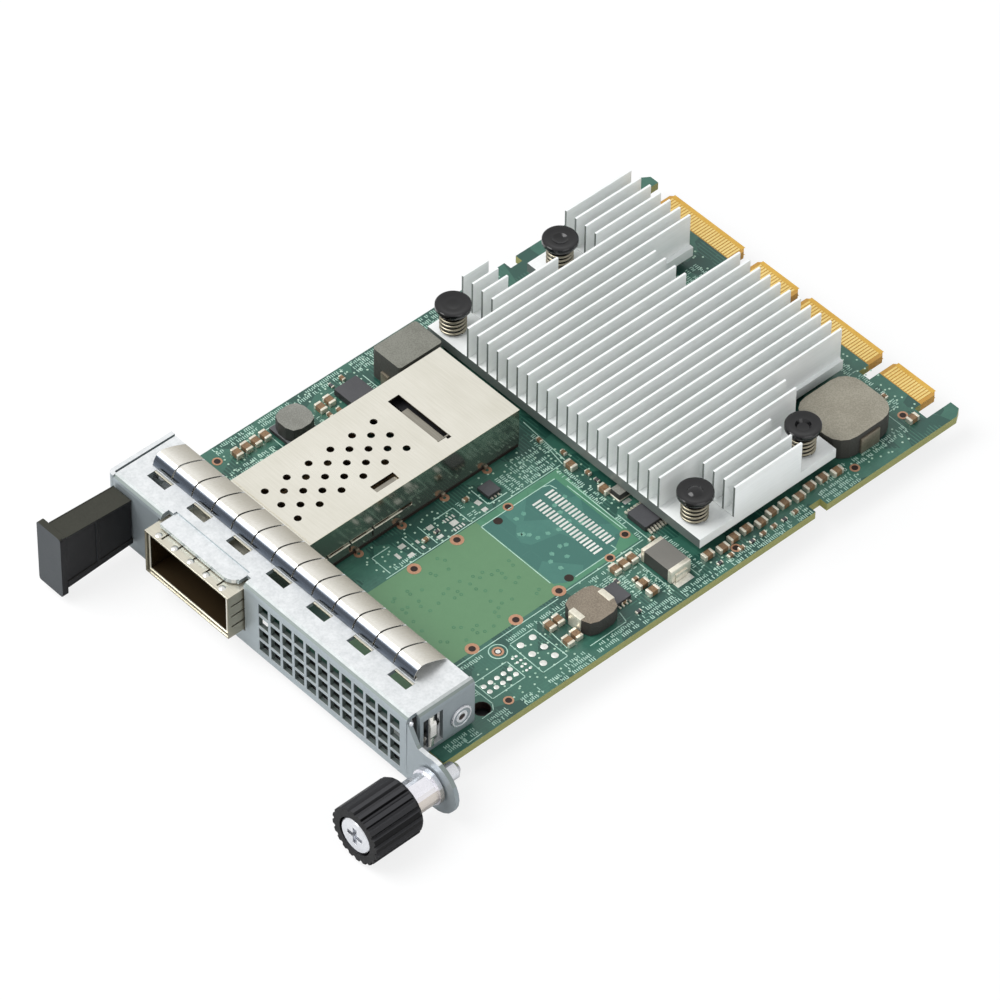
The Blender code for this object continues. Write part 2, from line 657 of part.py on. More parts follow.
def ear_outline():
    """The ear's outline on the face plane."""
    inner = FACE_RIGHT - FOLD_RADIUS - JOIN
    points = [(inner, FACE_BOTTOM), (FACE_RIGHT, FACE_BOTTOM)]
    for degrees in range(-120, 106, 15):
        angle = math.radians(degrees)
        points.append((SCREW_X + EAR_RADIUS * math.cos(angle), SCREW_Z + EAR_RADIUS * math.sin(angle)))
    points.append((FACE_RIGHT + EAR_SHOULDER + 0.5, EAR_SHOULDER_LEVEL - 0.1))
    points.append((FACE_RIGHT + EAR_SHOULDER, EAR_SHOULDER_LEVEL + 0.2))
    points.append((inner + 2 * JOIN, FACE_TOP - FOLD_RADIUS))
    points.append((inner, FACE_TOP - FOLD_RADIUS))
    return points


def hood_outline():
    """The hood's outline, with a round front corner at its right."""
    points = [(HOOD_LEFT, HOOD_REAR), (HOOD_LEFT, HOOD_FRONT)]
    for k in range(6):
        angle = math.radians(-90 + 18 * k)
        points.append((HOOD_RIGHT - HOOD_CORNER + HOOD_CORNER * math.cos(angle),
                       HOOD_FRONT + HOOD_CORNER + HOOD_CORNER * math.sin(angle)))
    points.append((HOOD_RIGHT, HOOD_REAR))
    return points


def cut_faceplate(plate):
    """Cut the vents, clip windows, port, reliefs and bores."""
    boxes = []
    for column in range(VENT_COLUMNS):
        for row in range(VENT_ROWS):
            x = VENT_LEFT + VENT_PITCH * column
            z = VENT_TOP - VENT_PITCH * row
            boxes.append(((x, -CUT_MARGIN, z - VENT_HOLE), (x + VENT_HOLE, SHEET + CUT_MARGIN, z)))
    for k in range(CLIP_WINDOWS):
        x = CLIP_WINDOW_LEFT + CLIP_WINDOW_PITCH * k
        boxes.append(((x, CLIP_WINDOW_FRONT, FACE_TOP - SHEET - CUT_MARGIN),
                      (x + CLIP_WINDOW_WIDTH, CLIP_WINDOW_FRONT + CLIP_WINDOW_DEPTH,
                       FACE_TOP + CUT_MARGIN)))
    cut_boxes(plate, "vents_and_windows", boxes)
    outer = collar_outer()
    port = [((outer[0] - SEAT, -CUT_MARGIN, outer[2] - SEAT),
             (outer[1] + SEAT, SHEET + CUT_MARGIN, FACE_TOP - HOOD_DROP - SHEET - JOIN / 5))]
    cut_boxes(plate, "port_opening", port)
    reliefs = [((HOOD_LEFT - RELIEF, -CUT_MARGIN, FACE_TOP - 2 * SHEET),
                (HOOD_LEFT, 2 * SHEET, FACE_TOP + CUT_MARGIN)),
               ((HOOD_RIGHT, -CUT_MARGIN, FACE_TOP - 2 * SHEET),
                (HOOD_RIGHT + RELIEF, 2 * SHEET, FACE_TOP + CUT_MARGIN))]
    cut_boxes(plate, "hood_reliefs", reliefs)
    sides = []
    for x in (FACE_RIGHT, FACE_LEFT):
        sides.append(((x - 3 * SHEET, SIDE_WINDOW_FRONT, SIDE_WINDOW_BOTTOM),
                      (x + 3 * SHEET, SIDE_WINDOW_FRONT + SIDE_WINDOW_DEPTH, SIDE_WINDOW_TOP)))
    cut_boxes(plate, "side_windows", sides)
    bores = []
    for x in (FACE_RIGHT - SHEET / 2, FACE_LEFT + SHEET / 2):
        bores.append(((x, NUT_Y, NUT_Z), NUT_BARREL + 2 * SEAT, 3 * SHEET))
    cut_bores(plate, "nut_bores", bores, "X", 16)
    bores = []
    for side in (-1, 1):
        bores.append(((foot_screw_x(side), FOOT_SCREW_Y, SEAT + SHEET / 2),
                      FOOT_SCREW_SHANK + 2 * SEAT, 2 * SHEET))
    cut_bores(plate, "foot_bores", bores, "Z", 12)
    bores = [((SCREW_X, SHEET / 2, SCREW_Z), EAR_HOLE, 3 * SHEET)]
    for z in tab_screw_levels():
        bores.append(((tab_screw_x(), SHEET / 2, z), TAB_SCREW_SHANK + 2 * SEAT, 3 * SHEET))
    cut_bores(plate, "face_bores", bores, "Y", 16)


def make_side_parts():
    """Side spring fingers, clinched nuts and foot screws."""
    for label, side, x in (("right", 1, FACE_RIGHT), ("left", -1, FACE_LEFT)):
        inner = x - side * (SHEET + SEAT)
        reach = x - side * 0.1
        y = SIDE_WINDOW_FRONT + 1.3
        low = SEAT + SHEET + SEAT
        high = SIDE_WINDOW_TOP + 0.6
        path = [(inner, low), (inner, low + 1.4), (reach, low + 2.6), (reach, high - 2.4),
                (inner, high - 1.2), (inner, high)]
        loop = sheet_loop(path, 0.5, side * FINGER_SHEET, 2)
        finger = flat_mesh("emi_gasket_" + label, [loop], y, y + 1.2, "XZ")
        store("emi_gasket_" + label, finger, "spring_steel")
        deep = -SHEET - NUT_REACH
        flange = [(NUT_BORE / 2, 0.0), (NUT_FLANGE / 2, 0.0), (NUT_FLANGE / 2, -NUT_RIM),
                  (NUT_BARREL / 2, -NUT_RIM), (NUT_BARREL / 2, deep), (NUT_BORE / 2, deep),
                  (NUT_BORE / 2, 0.0)]
        lift = NUT_RIM + JOIN
        profile = [(r, side * (level + lift)) for r, level in flange]
        if side < 0:
            profile.reverse()
        turned("flange_nut_" + label, profile, (x, NUT_Y, NUT_Z), "X", "steel", 16)
        under = -BOARD_THICK - SEAT
        head = under - FOOT_SCREW_HEAD_THICK
        profile = [(0, SEAT + SHEET + 0.5), (FOOT_SCREW_SHANK / 2, SEAT + SHEET + 0.5),
                   (FOOT_SCREW_SHANK / 2, under), (FOOT_SCREW_HEAD / 2, under),
                   (FOOT_SCREW_HEAD / 2, head + 0.3), (FOOT_SCREW_HEAD / 2 - 0.4, head), (0, head)]
        turned("foot_screw_" + label, profile, (foot_screw_x(side), FOOT_SCREW_Y, 0), "Z", "steel", 16)


def make_finger_strip():
    """The strip of arched fingers, slit from its rear edge nearly to its front one."""
    base = FACE_TOP + FINGER_GAP
    crest = base + FINGER_RISE
    path = [(STRIP_FRONT, base), (STRIP_FRONT + 0.9, crest - 0.25), (STRIP_FRONT + 1.5, crest),
            (STRIP_FRONT + 2.6, crest - 0.05), (STRIP_FRONT + 4.2, crest - 0.9),
            (STRIP_REAR - 0.7, base + 0.35), (STRIP_REAR, base + 0.45)]
    path = [Vector(p) for p in path]
    inner = offset(path, -FINGER_SHEET)
    tongue = [(p.x, p.y) for p in path] + [(p.x, p.y) for p in reversed(inner)]
    strip = flat("emi_gasket_top", [tongue], STRIP_LEFT, STRIP_RIGHT, "spring_steel", "YZ")
    pitch = (STRIP_RIGHT - STRIP_LEFT) / FINGER_COUNT
    slits = []
    for k in range(1, FINGER_COUNT):
        x = STRIP_LEFT + pitch * k
        slits.append(((x - FINGER_SLIT / 2, STRIP_FRONT + 0.45, base - CUT_MARGIN),
                      (x + FINGER_SLIT / 2, STRIP_REAR + CUT_MARGIN, crest + CUT_MARGIN)))
    cut_boxes(strip, "finger_slits", slits)
    return strip


def collar_inner():
    """Inner limits of the collar: left, right, bottom, top."""
    return (CAGE_LEFT - SEAT, CAGE_RIGHT + SEAT, 0.0, CAGE_TOP + SEAT)


def collar_outer():
    """Outer limits of the collar: left, right, bottom, top."""
    left, right, low, high = collar_inner()
    return (left - COLLAR_SHEET, right + COLLAR_SHEET, low - COLLAR_SHEET, high + COLLAR_SHEET)


def make_cage():
    """The vented cage, its collar and the receptacle inside it."""
    left = CAGE_LEFT
    right = CAGE_RIGHT
    wall = CAGE_WALL
    low = SEAT
    cage = box("qsfp_cage", (left, CAGE_FRONT, low), (right, CAGE_REAR, CAGE_TOP), "nickel")
    cut_boxes(cage, "cage_inside", [((left + wall, CAGE_FRONT - CUT_MARGIN, low + wall),
                                     (right - wall, CAGE_REAR - wall, CAGE_TOP - wall))])
    window_right = right - LATCH_WINDOW_FROM_RIGHT
    window_front = CAGE_REAR - LATCH_WINDOW_FROM_REAR
    openings = [((left + 2 * wall, CAGE_FRONT + CAGE_FLOOR_SHARE * CAGE_LENGTH, low - CUT_MARGIN),
                 (right - 2 * wall, CAGE_REAR - 2 * wall, low + 2 * wall)),
                ((window_right - LATCH_WINDOW[0], window_front, CAGE_TOP - 2 * wall),
                 (window_right, window_front + LATCH_WINDOW[1], CAGE_TOP + CUT_MARGIN))]
    for side in (left, right):
        for k in range(CLIP_SLOT_COUNT):
            y = CAGE_FRONT + CLIP_SLOT_SETBACK + CLIP_SLOT_PITCH * k
            openings.append(((side - 2 * wall, y, CLIP_SLOT_LEVEL),
                             (side + 2 * wall, y + CLIP_SLOT[0], CLIP_SLOT_LEVEL + CLIP_SLOT[1])))
    cut_boxes(cage, "cage_slots", openings)
    slot = slot_outline()
    boolean(cage, flat("cage_slot", [slot], CAGE_TOP - 2 * wall, CAGE_TOP + CUT_MARGIN, None))
    bores = []
    for column in range(CAGE_VENT_COLUMNS):
        x = left + CAGE_VENT_INSET + CAGE_VENT_X_PITCH * column
        shift = 0.5 * (column % 2)
        for row in range(6 - column % 2):
            y = CAGE_FRONT + CAGE_VENT_SETBACK + CAGE_VENT_Y_PITCH * (row + shift)
            bores.append(((x, y, CAGE_TOP), CAGE_VENT, 3 * wall))
    cut_bores(cage, "cage_vents", bores, "Z", 10)
    make_collar()
    make_receptacle()


def slot_outline():
    """The long slot across the cage's top, hooked at its rear right corner."""
    left = CAGE_LEFT + SLOT_INSET_LEFT
    right = CAGE_RIGHT - SLOT_INSET_RIGHT
    front = CAGE_REAR - SLOT_FROM_REAR
    rear = front + SLOT_DEPTH
    hook, deep = SLOT_HOOK
    return [(left, front), (right, front), (right, rear - deep), (right + hook, rear - deep),
            (right + hook, rear), (left, rear)]


def make_receptacle():
    """The connector in the cage, with the slot that a plug's card edge enters."""
    inset = CAGE_WALL + SEAT + RECEPTACLE_SIDE
    front = CAGE_REAR - RECEPTACLE_FROM_REAR
    top = CAGE_TOP - RECEPTACLE_DROP
    block = box("qsfp_receptacle", (CAGE_LEFT + inset, front, SEAT),
                (CAGE_RIGHT - inset, front + RECEPTACLE_LENGTH, top), "moulding")
    high, deep = RECEPTACLE_MOUTH
    middle = (SEAT + top) / 2 + SEAT
    cut_boxes(block, "receptacle_mouth", [
        ((CAGE_LEFT + inset + 1.2, front - CUT_MARGIN, middle - high / 2),
         (CAGE_RIGHT - inset - 1.2, front + deep, middle + high / 2))])


def make_collar():
    """The ring of spring fingers round the port."""
    inner = collar_inner()
    outer = collar_outer()
    rear = COLLAR_FRONT + COLLAR_DEPTH
    collar = flat("cage_spring_collar", [rectangle(*outer), rectangle(*inner)], COLLAR_FRONT, rear,
                  "nickel", "XZ")
    slits = []
    start = COLLAR_FRONT + COLLAR_TIP
    for k in range(1, 6):
        x = outer[0] + (outer[1] - outer[0]) * k / 6
        for level in (inner[2] - COLLAR_SHEET / 2, inner[3] + COLLAR_SHEET / 2):
            slits.append(((x - COLLAR_SLIT / 2, start, level - COLLAR_SHEET),
                          (x + COLLAR_SLIT / 2, rear - 0.8, level + COLLAR_SHEET)))
    for k in range(1, 4):
        z = outer[2] + (outer[3] - outer[2]) * k / 4
        for side in (inner[0] - COLLAR_SHEET / 2, inner[1] + COLLAR_SHEET / 2):
            slits.append(((side - COLLAR_SHEET, start, z - COLLAR_SLIT / 2),
                          (side + COLLAR_SHEET, rear - 0.8, z + COLLAR_SLIT / 2)))
    cut_boxes(collar, "collar_slits", slits)


def make_heatsink():
    """An extruded comb of fins, milled at its corners and notched at its rear."""
    base_top = SINK_BOTTOM + SINK_BASE
    pitch = (2 * SINK_HALF - FIN_THICK) / (FIN_COUNT - 1)
    section = [(-SINK_HALF, SINK_BOTTOM), (SINK_HALF, SINK_BOTTOM)]
    for k in range(FIN_COUNT):
        right = SINK_HALF - pitch * k
        left = right - FIN_THICK
        if k:
            section.append((right, base_top))
        section += [(right, FIN_TOP), (left, FIN_TOP)]
        if k < FIN_COUNT - 1:
            section.append((left, base_top))
    sink = flat("heatsink", [section], SINK_FRONT, SINK_REAR, "aluminium", "XZ")
    floor = base_top - MILL_DEPTH
    top = FIN_TOP + CUT_MARGIN
    wide = SINK_HALF + CUT_MARGIN
    inner = SINK_HALF - POCKET_REACH
    front = SINK_FRONT - CUT_MARGIN
    pocket_end = SINK_FRONT + POCKET_FRONT_DEPTH
    deep = SINK_BOTTOM - CUT_MARGIN
    rear = SINK_REAR + CUT_MARGIN
    cut_boxes(sink, "sink_front_pockets", [
        ((inner, front, floor), (wide, pocket_end, top)),
        ((-wide, front, floor), (-inner, pocket_end, top))])
    cut_boxes(sink, "sink_rear_pockets", [
        ((inner, RIGHT_FIN_END, floor), (wide, RIGHT_BASE_REAR + JOIN, top)),
        ((-wide, LEFT_EAR_FRONT - JOIN, floor), (-inner, LEFT_EAR_REAR, top))])
    cut_boxes(sink, "sink_side_cut", [
        ((-wide, LEFT_FIN_END, deep), (LEFT_STEP - SINK_HALF, LEFT_EAR_FRONT, top))])
    cut_boxes(sink, "sink_notches", [
        ((SINK_HALF - RIGHT_STEP, RIGHT_BASE_REAR, deep), (wide, rear, top)),
        ((NOTCH_LEFT, SINK_REAR - NOTCH_DEPTH, deep), (NOTCH_LEFT + NOTCH_WIDTH, rear, top))])
    bores = [((x, y, base_top), PIN_SHAFT + 2 * SEAT, 3 * SINK_BASE) for x, y in PIN_PLACES]
    cut_bores(sink, "sink_bores", bores, "Z", 16)
    half = CHIP_SIZE / 2
    box("network_chip", (-half, CHIP_Y - half, SOLDER_GAP), (half, CHIP_Y + half, CHIP_TOP), "laminate")
    half -= PAD_MARGIN
    box("thermal_pad", (-half, CHIP_Y - half, CHIP_TOP + PAD_GAP),
        (half, CHIP_Y + half, SINK_BOTTOM - PAD_GAP), "silicone")


def make_pin(index, x, y):
    """One push pin with a dished head and a split barb, and its coil spring."""
    head_edge = PIN_HEAD / 2
    under = -BOARD_THICK - SEAT
    tip = under - PIN_LENGTH_BELOW
    profile = [(0, PIN_TOP - 0.5), (0.4 * head_edge, PIN_TOP - 0.45), (0.6 * head_edge, PIN_TOP - 0.05),
               (head_edge - 0.35, PIN_TOP), (head_edge, PIN_TOP - 0.3),
               (head_edge, PIN_TOP - PIN_HEAD_THICK),
               (PIN_NECK / 2, PIN_TOP - PIN_HEAD_THICK), (PIN_NECK / 2, PIN_NECK_BOTTOM),
               (PIN_SHAFT / 2, PIN_NECK_BOTTOM), (PIN_SHAFT / 2, under), (PIN_BARB / 2, under),
               (PIN_BARB / 2, under - 0.4), (PIN_SHAFT / 4, tip), (0, tip)]
    pin = turned("heatsink_pin_%d" % index, profile, (x, y, 0), "Z", "black_nylon", 16)
    cut_boxes(pin, "pin_split_%d" % index, [((x - PIN_SPLIT / 2, y - PIN_BARB, tip - CUT_MARGIN),
                                            (x + PIN_SPLIT / 2, y + PIN_BARB, under + 1.0))])
    low = SINK_BOTTOM + SINK_BASE - MILL_DEPTH + SEAT + SPRING_WIRE / 2
    high = PIN_NECK_BOTTOM - SEAT - SPRING_WIRE / 2
    radius = (SPRING_OUTER - SPRING_WIRE) / 2
    points = []
    total = SPRING_TURNS * SPRING_STEPS
    for k in range(total + 1):
        angle = 2 * math.pi * k / SPRING_STEPS
        points.append((x + radius * math.cos(angle), y + radius * math.sin(angle),
                       low + (high - low) * k / total))
    wire("heatsink_spring_%d" % index, points, SPRING_WIRE, "spring_steel")


def wire(name, points, diameter, finish):
    """A round wire along points, as a closed mesh."""
    curve = bpy.data.curves.new(name, "CURVE")
    curve.dimensions = "3D"
    curve.bevel_depth = diameter / 2
    curve.bevel_resolution = 1
    curve.use_fill_caps = True
    spline = curve.splines.new("POLY")
    spline.points.add(len(points) - 1)
    for point, place in zip(spline.points, points):
        point.co = (*place, 1.0)
    item = bpy.data.objects.new(name, curve)
    bpy.context.scene.collection.objects.link(item)
    bpy.context.view_layer.update()
    seen = item.evaluated_get(bpy.context.evaluated_depsgraph_get())
    mesh = bpy.data.meshes.new_from_object(seen)
    bpy.data.objects.remove(item, do_unlink=True)
    bm = bmesh.new()
    bm.from_mesh(mesh)
    bpy.data.meshes.remove(mesh)
    bmesh.ops.remove_doubles(bm, verts=bm.verts, dist=0.0001)
    return store(name, mesh_of(bm, name), finish, smooth=True)


def tab_screw_x():
    """Where the pull tab's screws stand."""
    return (TAB_LEFT + TAB_RIGHT) / 2


def tab_screw_levels():
    """Levels of the pull tab's two screws."""
    return (TAB_TOP - TAB_SCREW_INSET - TAB_SCREW_PITCH, TAB_TOP - TAB_SCREW_INSET)


def make_pull_tab():
    """The moulded pull tab, an arm that ends in a plate, and its two screws."""
    rear = -SEAT
    front = TAB_FRONT + TAB_PLATE / 2
    plate_top = TAB_TOP + TAB_SPREAD
    arm = [(front, TAB_BOTTOM - TAB_SPREAD), (rear, TAB_BOTTOM), (rear, TAB_TOP),
           (front, plate_top - JOIN / 5)]
    tab = flat("pull_tab", [arm], TAB_LEFT, TAB_RIGHT - JOIN / 5, "black_nylon", "YZ")
    end = rounded(TAB_PLATE_LEFT, TAB_RIGHT, TAB_PLATE_BOTTOM, plate_top, TAB_PLATE_CORNER, 3)
    boolean(tab, flat("tab_end", [end], TAB_FRONT, TAB_FRONT + TAB_PLATE, None, "XZ"), "UNION")
    depth = TAB_SCREW_DEPTH
    bores = []
    for level in tab_screw_levels():
        bores.append(((tab_screw_x(), rear - depth / 2 + CUT_MARGIN, level),
                      TAB_SCREW_SHANK + 2 * SEAT, depth + 2 * CUT_MARGIN))
    cut_bores(tab, "tab_bores", bores, "Y", 12)
    for k, level in enumerate(tab_screw_levels(), 1):
        back = SHEET + SEAT
        end = -back - TAB_SCREW_HEAD_THICK
        profile = [(0, depth - 0.5), (TAB_SCREW_SHANK / 2, depth - 0.7), (TAB_SCREW_SHANK / 2, -back),
                   (TAB_SCREW_HEAD / 2, -back), (TAB_SCREW_HEAD / 2, end + 0.4),
                   (TAB_SCREW_HEAD / 2 - 0.5, end), (0, end)]
        turned("pull_tab_screw_%d" % k, profile, (tab_screw_x(), 0, level), "Y", "steel", 12)


def make_thumbscrew():
    """The ribbed knob, the screw that it carries and the ferrule in the ear."""
    outer = KNOB_DIAMETER / 2
    loop = []
    for k in range(KNOB_RIBS):
        step = 2 * math.pi / KNOB_RIBS
        for share, radius in ((0.0, outer - KNOB_RIB_DEPTH), (0.18, outer), (0.62, outer),
                              (0.8, outer - KNOB_RIB_DEPTH)):
            angle = step * (k + share)
            loop.append((SCREW_X + radius * math.cos(angle), SCREW_Z + radius * math.sin(angle)))
    bore = circle(SCREW_X, SCREW_Z, SCREW_SHANK + 2 * SEAT, 16)
    knob = flat("thumbscrew_knob", [loop, bore], KNOB_FRONT, KNOB_REAR, "black_nylon", "XZ")
    cut_bores(knob, "knob_counterbore", [((SCREW_X, KNOB_FRONT, SCREW_Z), SCREW_HEAD + 2 * SEAT,
                                         2 * (SCREW_HEAD_THICK + SEAT))], "Y", 24)
    shape = [(outer + CUT_MARGIN, 0.9), (outer + CUT_MARGIN, -CUT_MARGIN), (outer - 1.3, -CUT_MARGIN),
             (outer - 1.3, 0.0), (outer - 0.35, 0.35), (outer - 0.02, 0.9), (outer + CUT_MARGIN, 0.9)]
    chamfer = turned("knob_chamfer", shape, (SCREW_X, KNOB_REAR, SCREW_Z), "Y", None, 24)
    boolean(knob, chamfer)
    head_front = -KNOB_FRONT
    shank = SCREW_SHANK / 2
    profile = [(0, head_front), (SCREW_HEAD / 2 - 0.25, head_front), (SCREW_HEAD / 2, head_front - 0.25),
               (SCREW_HEAD / 2, head_front - SCREW_HEAD_THICK), (shank, head_front - SCREW_HEAD_THICK),
               (shank, -SCREW_TIP + 0.8), (shank - 0.7, -SCREW_TIP), (0, -SCREW_TIP)]
    screw = turned("thumbscrew_screw", profile, (SCREW_X, 0, SCREW_Z), "Y", "steel", 24)
    recess = []
    long, wide, deep = SCREW_RECESS
    for along, across in ((long / 2, wide / 2), (wide / 2, long / 2)):
        recess.append(((SCREW_X - along, KNOB_FRONT - CUT_MARGIN, SCREW_Z - across),
                       (SCREW_X + along, KNOB_FRONT + deep, SCREW_Z + across)))
    cut_boxes(screw, "recess_first", recess[:1])
    cut_boxes(screw, "recess_second", recess[1:])
    bore = shank + SEAT
    front = -KNOB_REAR - SEAT
    spigot = EAR_HOLE / 2 - SEAT
    wide = FERRULE_DIAMETER / 2
    profile = [(bore, front), (wide - 0.2, front), (wide, front - 0.2), (wide, SEAT + FERRULE_COLLAR),
               (wide + FERRULE_RIM, SEAT + FERRULE_COLLAR), (wide + FERRULE_RIM, SEAT), (spigot, SEAT),
               (spigot, -SHEET - 0.3), (bore, -SHEET - 0.3), (bore, front)]
    turned("thumbscrew_ferrule", profile, (SCREW_X, 0, SCREW_Z), "Y", "steel", 24)


def soldered(name, place, finish, terminals, steps=1):
    """A moulded or pressed body with round corners, joined to its metal terminals."""
    x, y, width, length, top, radius = place
    outline = rounded(x - width / 2, x + width / 2, y - length / 2, y + length / 2, radius, steps)
    body = flat(name, [outline], SOLDER_GAP, top, finish)
    bm = bmesh.new()
    for low, high in terminals:
        add_box(bm, low, high)
    boolean(body, store(name + "_terminals", mesh_of(bm, name), None), "UNION")
    return body


def end_terminals(place, axis, width, high, reach=STRAP_THICK, sink=0.5):
    """Two straps, one over each end of a soldered part."""
    x, y = place[:2]
    boxes = []
    for side in (-1, 1):
        edge = side * place[2 + axis] / 2
        near, far = sorted((edge - side * sink, edge + side * reach))
        if axis == 0:
            boxes.append(((x + near, y - width / 2, SOLDER_GAP), (x + far, y + width / 2, high)))
        else:
            boxes.append(((x - width / 2, y + near, SOLDER_GAP), (x + width / 2, y + far, high)))
    return boxes


def make_components():
    """The taller parts soldered on the board."""
    large = end_terminals(LARGE_INDUCTOR, 0, 4.2, 0.75 * LARGE_INDUCTOR[4])
    soldered("power_inductor_large", LARGE_INDUCTOR, "ferrite", large, 4)
    tall = end_terminals(TALL_INDUCTOR, 1, 1.8, 0.45 * TALL_INDUCTOR[4])
    soldered("power_inductor_tall", TALL_INDUCTOR, "ferrite", tall, 2)
    x, y, width, length = LEFT_CHOKE[:4]
    base = [((x - width / 2 - 0.2, y - length / 2 - 0.2, SOLDER_GAP),
             (x + width / 2 + 0.2, y + length / 2 + 0.2, 0.9))]
    soldered("choke_left", LEFT_CHOKE, "ferrite", base, 2)
    lugs = end_terminals(RIGHT_CHOKE, 1, 2.7, RIGHT_CHOKE[4] + 0.08, 0.2, 0.9)
    soldered("choke_right", RIGHT_CHOKE, "ferrite", lugs, 2)
    ends = end_terminals(TANTALUM, 0, 2.4, 0.57 * TANTALUM[4], 0.25)
    soldered("tantalum_capacitor", TANTALUM, "moulding", ends)
    x, y, width = REGULATOR[:3]
    legs = []
    for k in range(LEG_COUNT):
        leg = y + LEG_PITCH * (k - (LEG_COUNT - 1) / 2)
        for side in (-1, 1):
            near, far = sorted((x + side * (width / 2 - 0.15), x + side * (width / 2 + LEG_REACH)))
            legs.append(((near, leg - LEG_WIDTH / 2, SOLDER_GAP), (far, leg + LEG_WIDTH / 2, LEG_TOP)))
    soldered("regulator_soic", REGULATOR, "moulding", legs)
    for name, place in (("chip_right", RIGHT_CHIP), ("chip_left", LEFT_CHIP), ("chip_small", SMALL_CHIP)):
        x, y, width, length, top = place
        box(name, (x - width / 2, y - length / 2, SOLDER_GAP), (x + width / 2, y + length / 2, top),
            "moulding")


def make_insulator():
    """The thin sheet under the board, clear of the tongues and of what comes through."""
    high = -BOARD_THICK - SEAT
    half = BOARD_WIDTH / 2 - INSULATOR_INSET
    holes = [circle(x, y, PIN_BARB + 1.6, 12) for x, y in PIN_PLACES]
    for side in (-1, 1):
        holes.append(circle(foot_screw_x(side), FOOT_SCREW_Y, FOOT_SCREW_HEAD + 1.2, 12))
    outline = rounded(-half, half, BOARD_SETBACK + INSULATOR_FRONT, BOARD_REAR - INSULATOR_REAR,
                      INSULATOR_CORNER, 2)
    flat("bottom_insulator", [outline] + holes, high - INSULATOR_THICK, high, "film")


make_board()
make_faceplate()
make_side_parts()
make_finger_strip()
make_cage()
make_heatsink()
for number, (pin_x, pin_y) in enumerate(PIN_PLACES, 1):
    make_pin(number, pin_x, pin_y)
make_pull_tab()
make_thumbscrew()
make_components()
make_insulator()
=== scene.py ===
"""Finishes, small parts and studio for a server network card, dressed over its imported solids.

Sizes are in millimetres in the card's own frame: X from the board's centre line, Y from the
faceplate's front and Z from the board's component side. ``to_row`` turns them to row metres.
"""
import logging
import math
from dataclasses import dataclass
from enum import Enum
from functools import cache, partial

import bmesh
import bpy
import numpy as np
from mathutils import Matrix, Vector


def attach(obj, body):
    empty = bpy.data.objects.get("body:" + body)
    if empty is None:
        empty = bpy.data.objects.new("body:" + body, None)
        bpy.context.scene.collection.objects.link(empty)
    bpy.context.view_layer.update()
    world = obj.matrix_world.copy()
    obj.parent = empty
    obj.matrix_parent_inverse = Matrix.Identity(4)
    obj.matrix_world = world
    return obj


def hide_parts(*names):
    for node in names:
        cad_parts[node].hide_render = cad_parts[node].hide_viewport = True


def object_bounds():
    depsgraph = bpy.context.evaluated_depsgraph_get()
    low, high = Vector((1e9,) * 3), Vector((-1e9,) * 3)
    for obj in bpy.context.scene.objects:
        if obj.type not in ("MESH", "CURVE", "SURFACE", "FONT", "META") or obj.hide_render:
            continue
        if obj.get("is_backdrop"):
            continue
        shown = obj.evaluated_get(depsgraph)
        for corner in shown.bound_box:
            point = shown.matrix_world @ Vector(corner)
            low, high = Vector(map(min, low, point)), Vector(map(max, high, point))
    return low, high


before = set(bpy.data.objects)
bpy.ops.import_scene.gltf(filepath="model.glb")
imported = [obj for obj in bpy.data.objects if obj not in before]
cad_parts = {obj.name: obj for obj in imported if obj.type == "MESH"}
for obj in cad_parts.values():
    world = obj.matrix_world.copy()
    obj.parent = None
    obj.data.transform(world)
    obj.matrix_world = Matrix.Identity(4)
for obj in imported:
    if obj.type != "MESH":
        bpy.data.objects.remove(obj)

LOG = logging.getLogger("network_card")
ORIGIN = np.array((3.85, 51.6, -5.0))
BOARD_REAR = 119.4
BOARD_THICK = 1.57

Point = tuple[float, float, float]
TO_FRONT: Point = (0.0, -1.0, 0.0)
TO_RIGHT: Point = (1.0, 0.0, 0.0)
TO_BOTTOM: Point = (0.0, 0.0, -1.0)


class Axis(Enum):
    """Direction that a profile is turned about or carried along."""

    X = 0
    Y = 1
    Z = 2


class Grain(Enum):
    """How a surface was made, which sets the pattern of its relief."""

    MOULDED = "moulded"
    ROLLED_X = "rolled along X"
    ROLLED_Y = "rolled along Y"
    PLATED = "plated"
    PRESSED = "pressed powder"


# ---------------------------------------------------------------------------------- surfaces

@dataclass
class Surface:
    """Points in card millimetres, with faces grouped by the finish that they take."""

    points: np.ndarray
    faces: list[tuple[np.ndarray, int]]


def table(*columns: np.ndarray | float) -> np.ndarray:
    """Stand columns side by side. A single number fills its whole column."""
    return np.stack(np.broadcast_arrays(*columns), -1)


def skin(points: np.ndarray, count: int, hollow: bool = False, slot: int = 0) -> Surface:
    """Join rings of points that follow each other with quads, and cap the first and last ring.

    Args:
        points: The points of one ring after the other.
        count: Points in each ring.
        hollow: Whether the last ring joins the first, which leaves out the caps.
        slot: Finish of the faces.

    Returns:
        The closed surface.
    """
    rings = len(points) // count
    r, c = np.meshgrid(np.arange(rings if hollow else rings - 1), np.arange(count), indexing="ij")
    r, c = r.ravel(), c.ravel()
    r2, c2 = (r + 1) % rings, (c + 1) % count
    quads = table(r * count + c, r * count + c2, r2 * count + c2, r2 * count + c)
    caps = [] if hollow else [np.arange(count)[None] + ring * count for ring in (0, rings - 1)]
    return Surface(points, [(face, slot) for face in [quads] + caps])


def join(parts: list[Surface]) -> Surface:
    """Put several surfaces into one.

    Args:
        parts: The surfaces to join.

    Returns:
        One surface that holds every point and face.
    """
    starts = np.cumsum([0] + [len(p.points) for p in parts[:-1]])
    faces = [(f + s, slot) for p, s in zip(parts, starts) for f, slot in p.faces]
    return Surface(np.concatenate([p.points for p in parts]), faces)


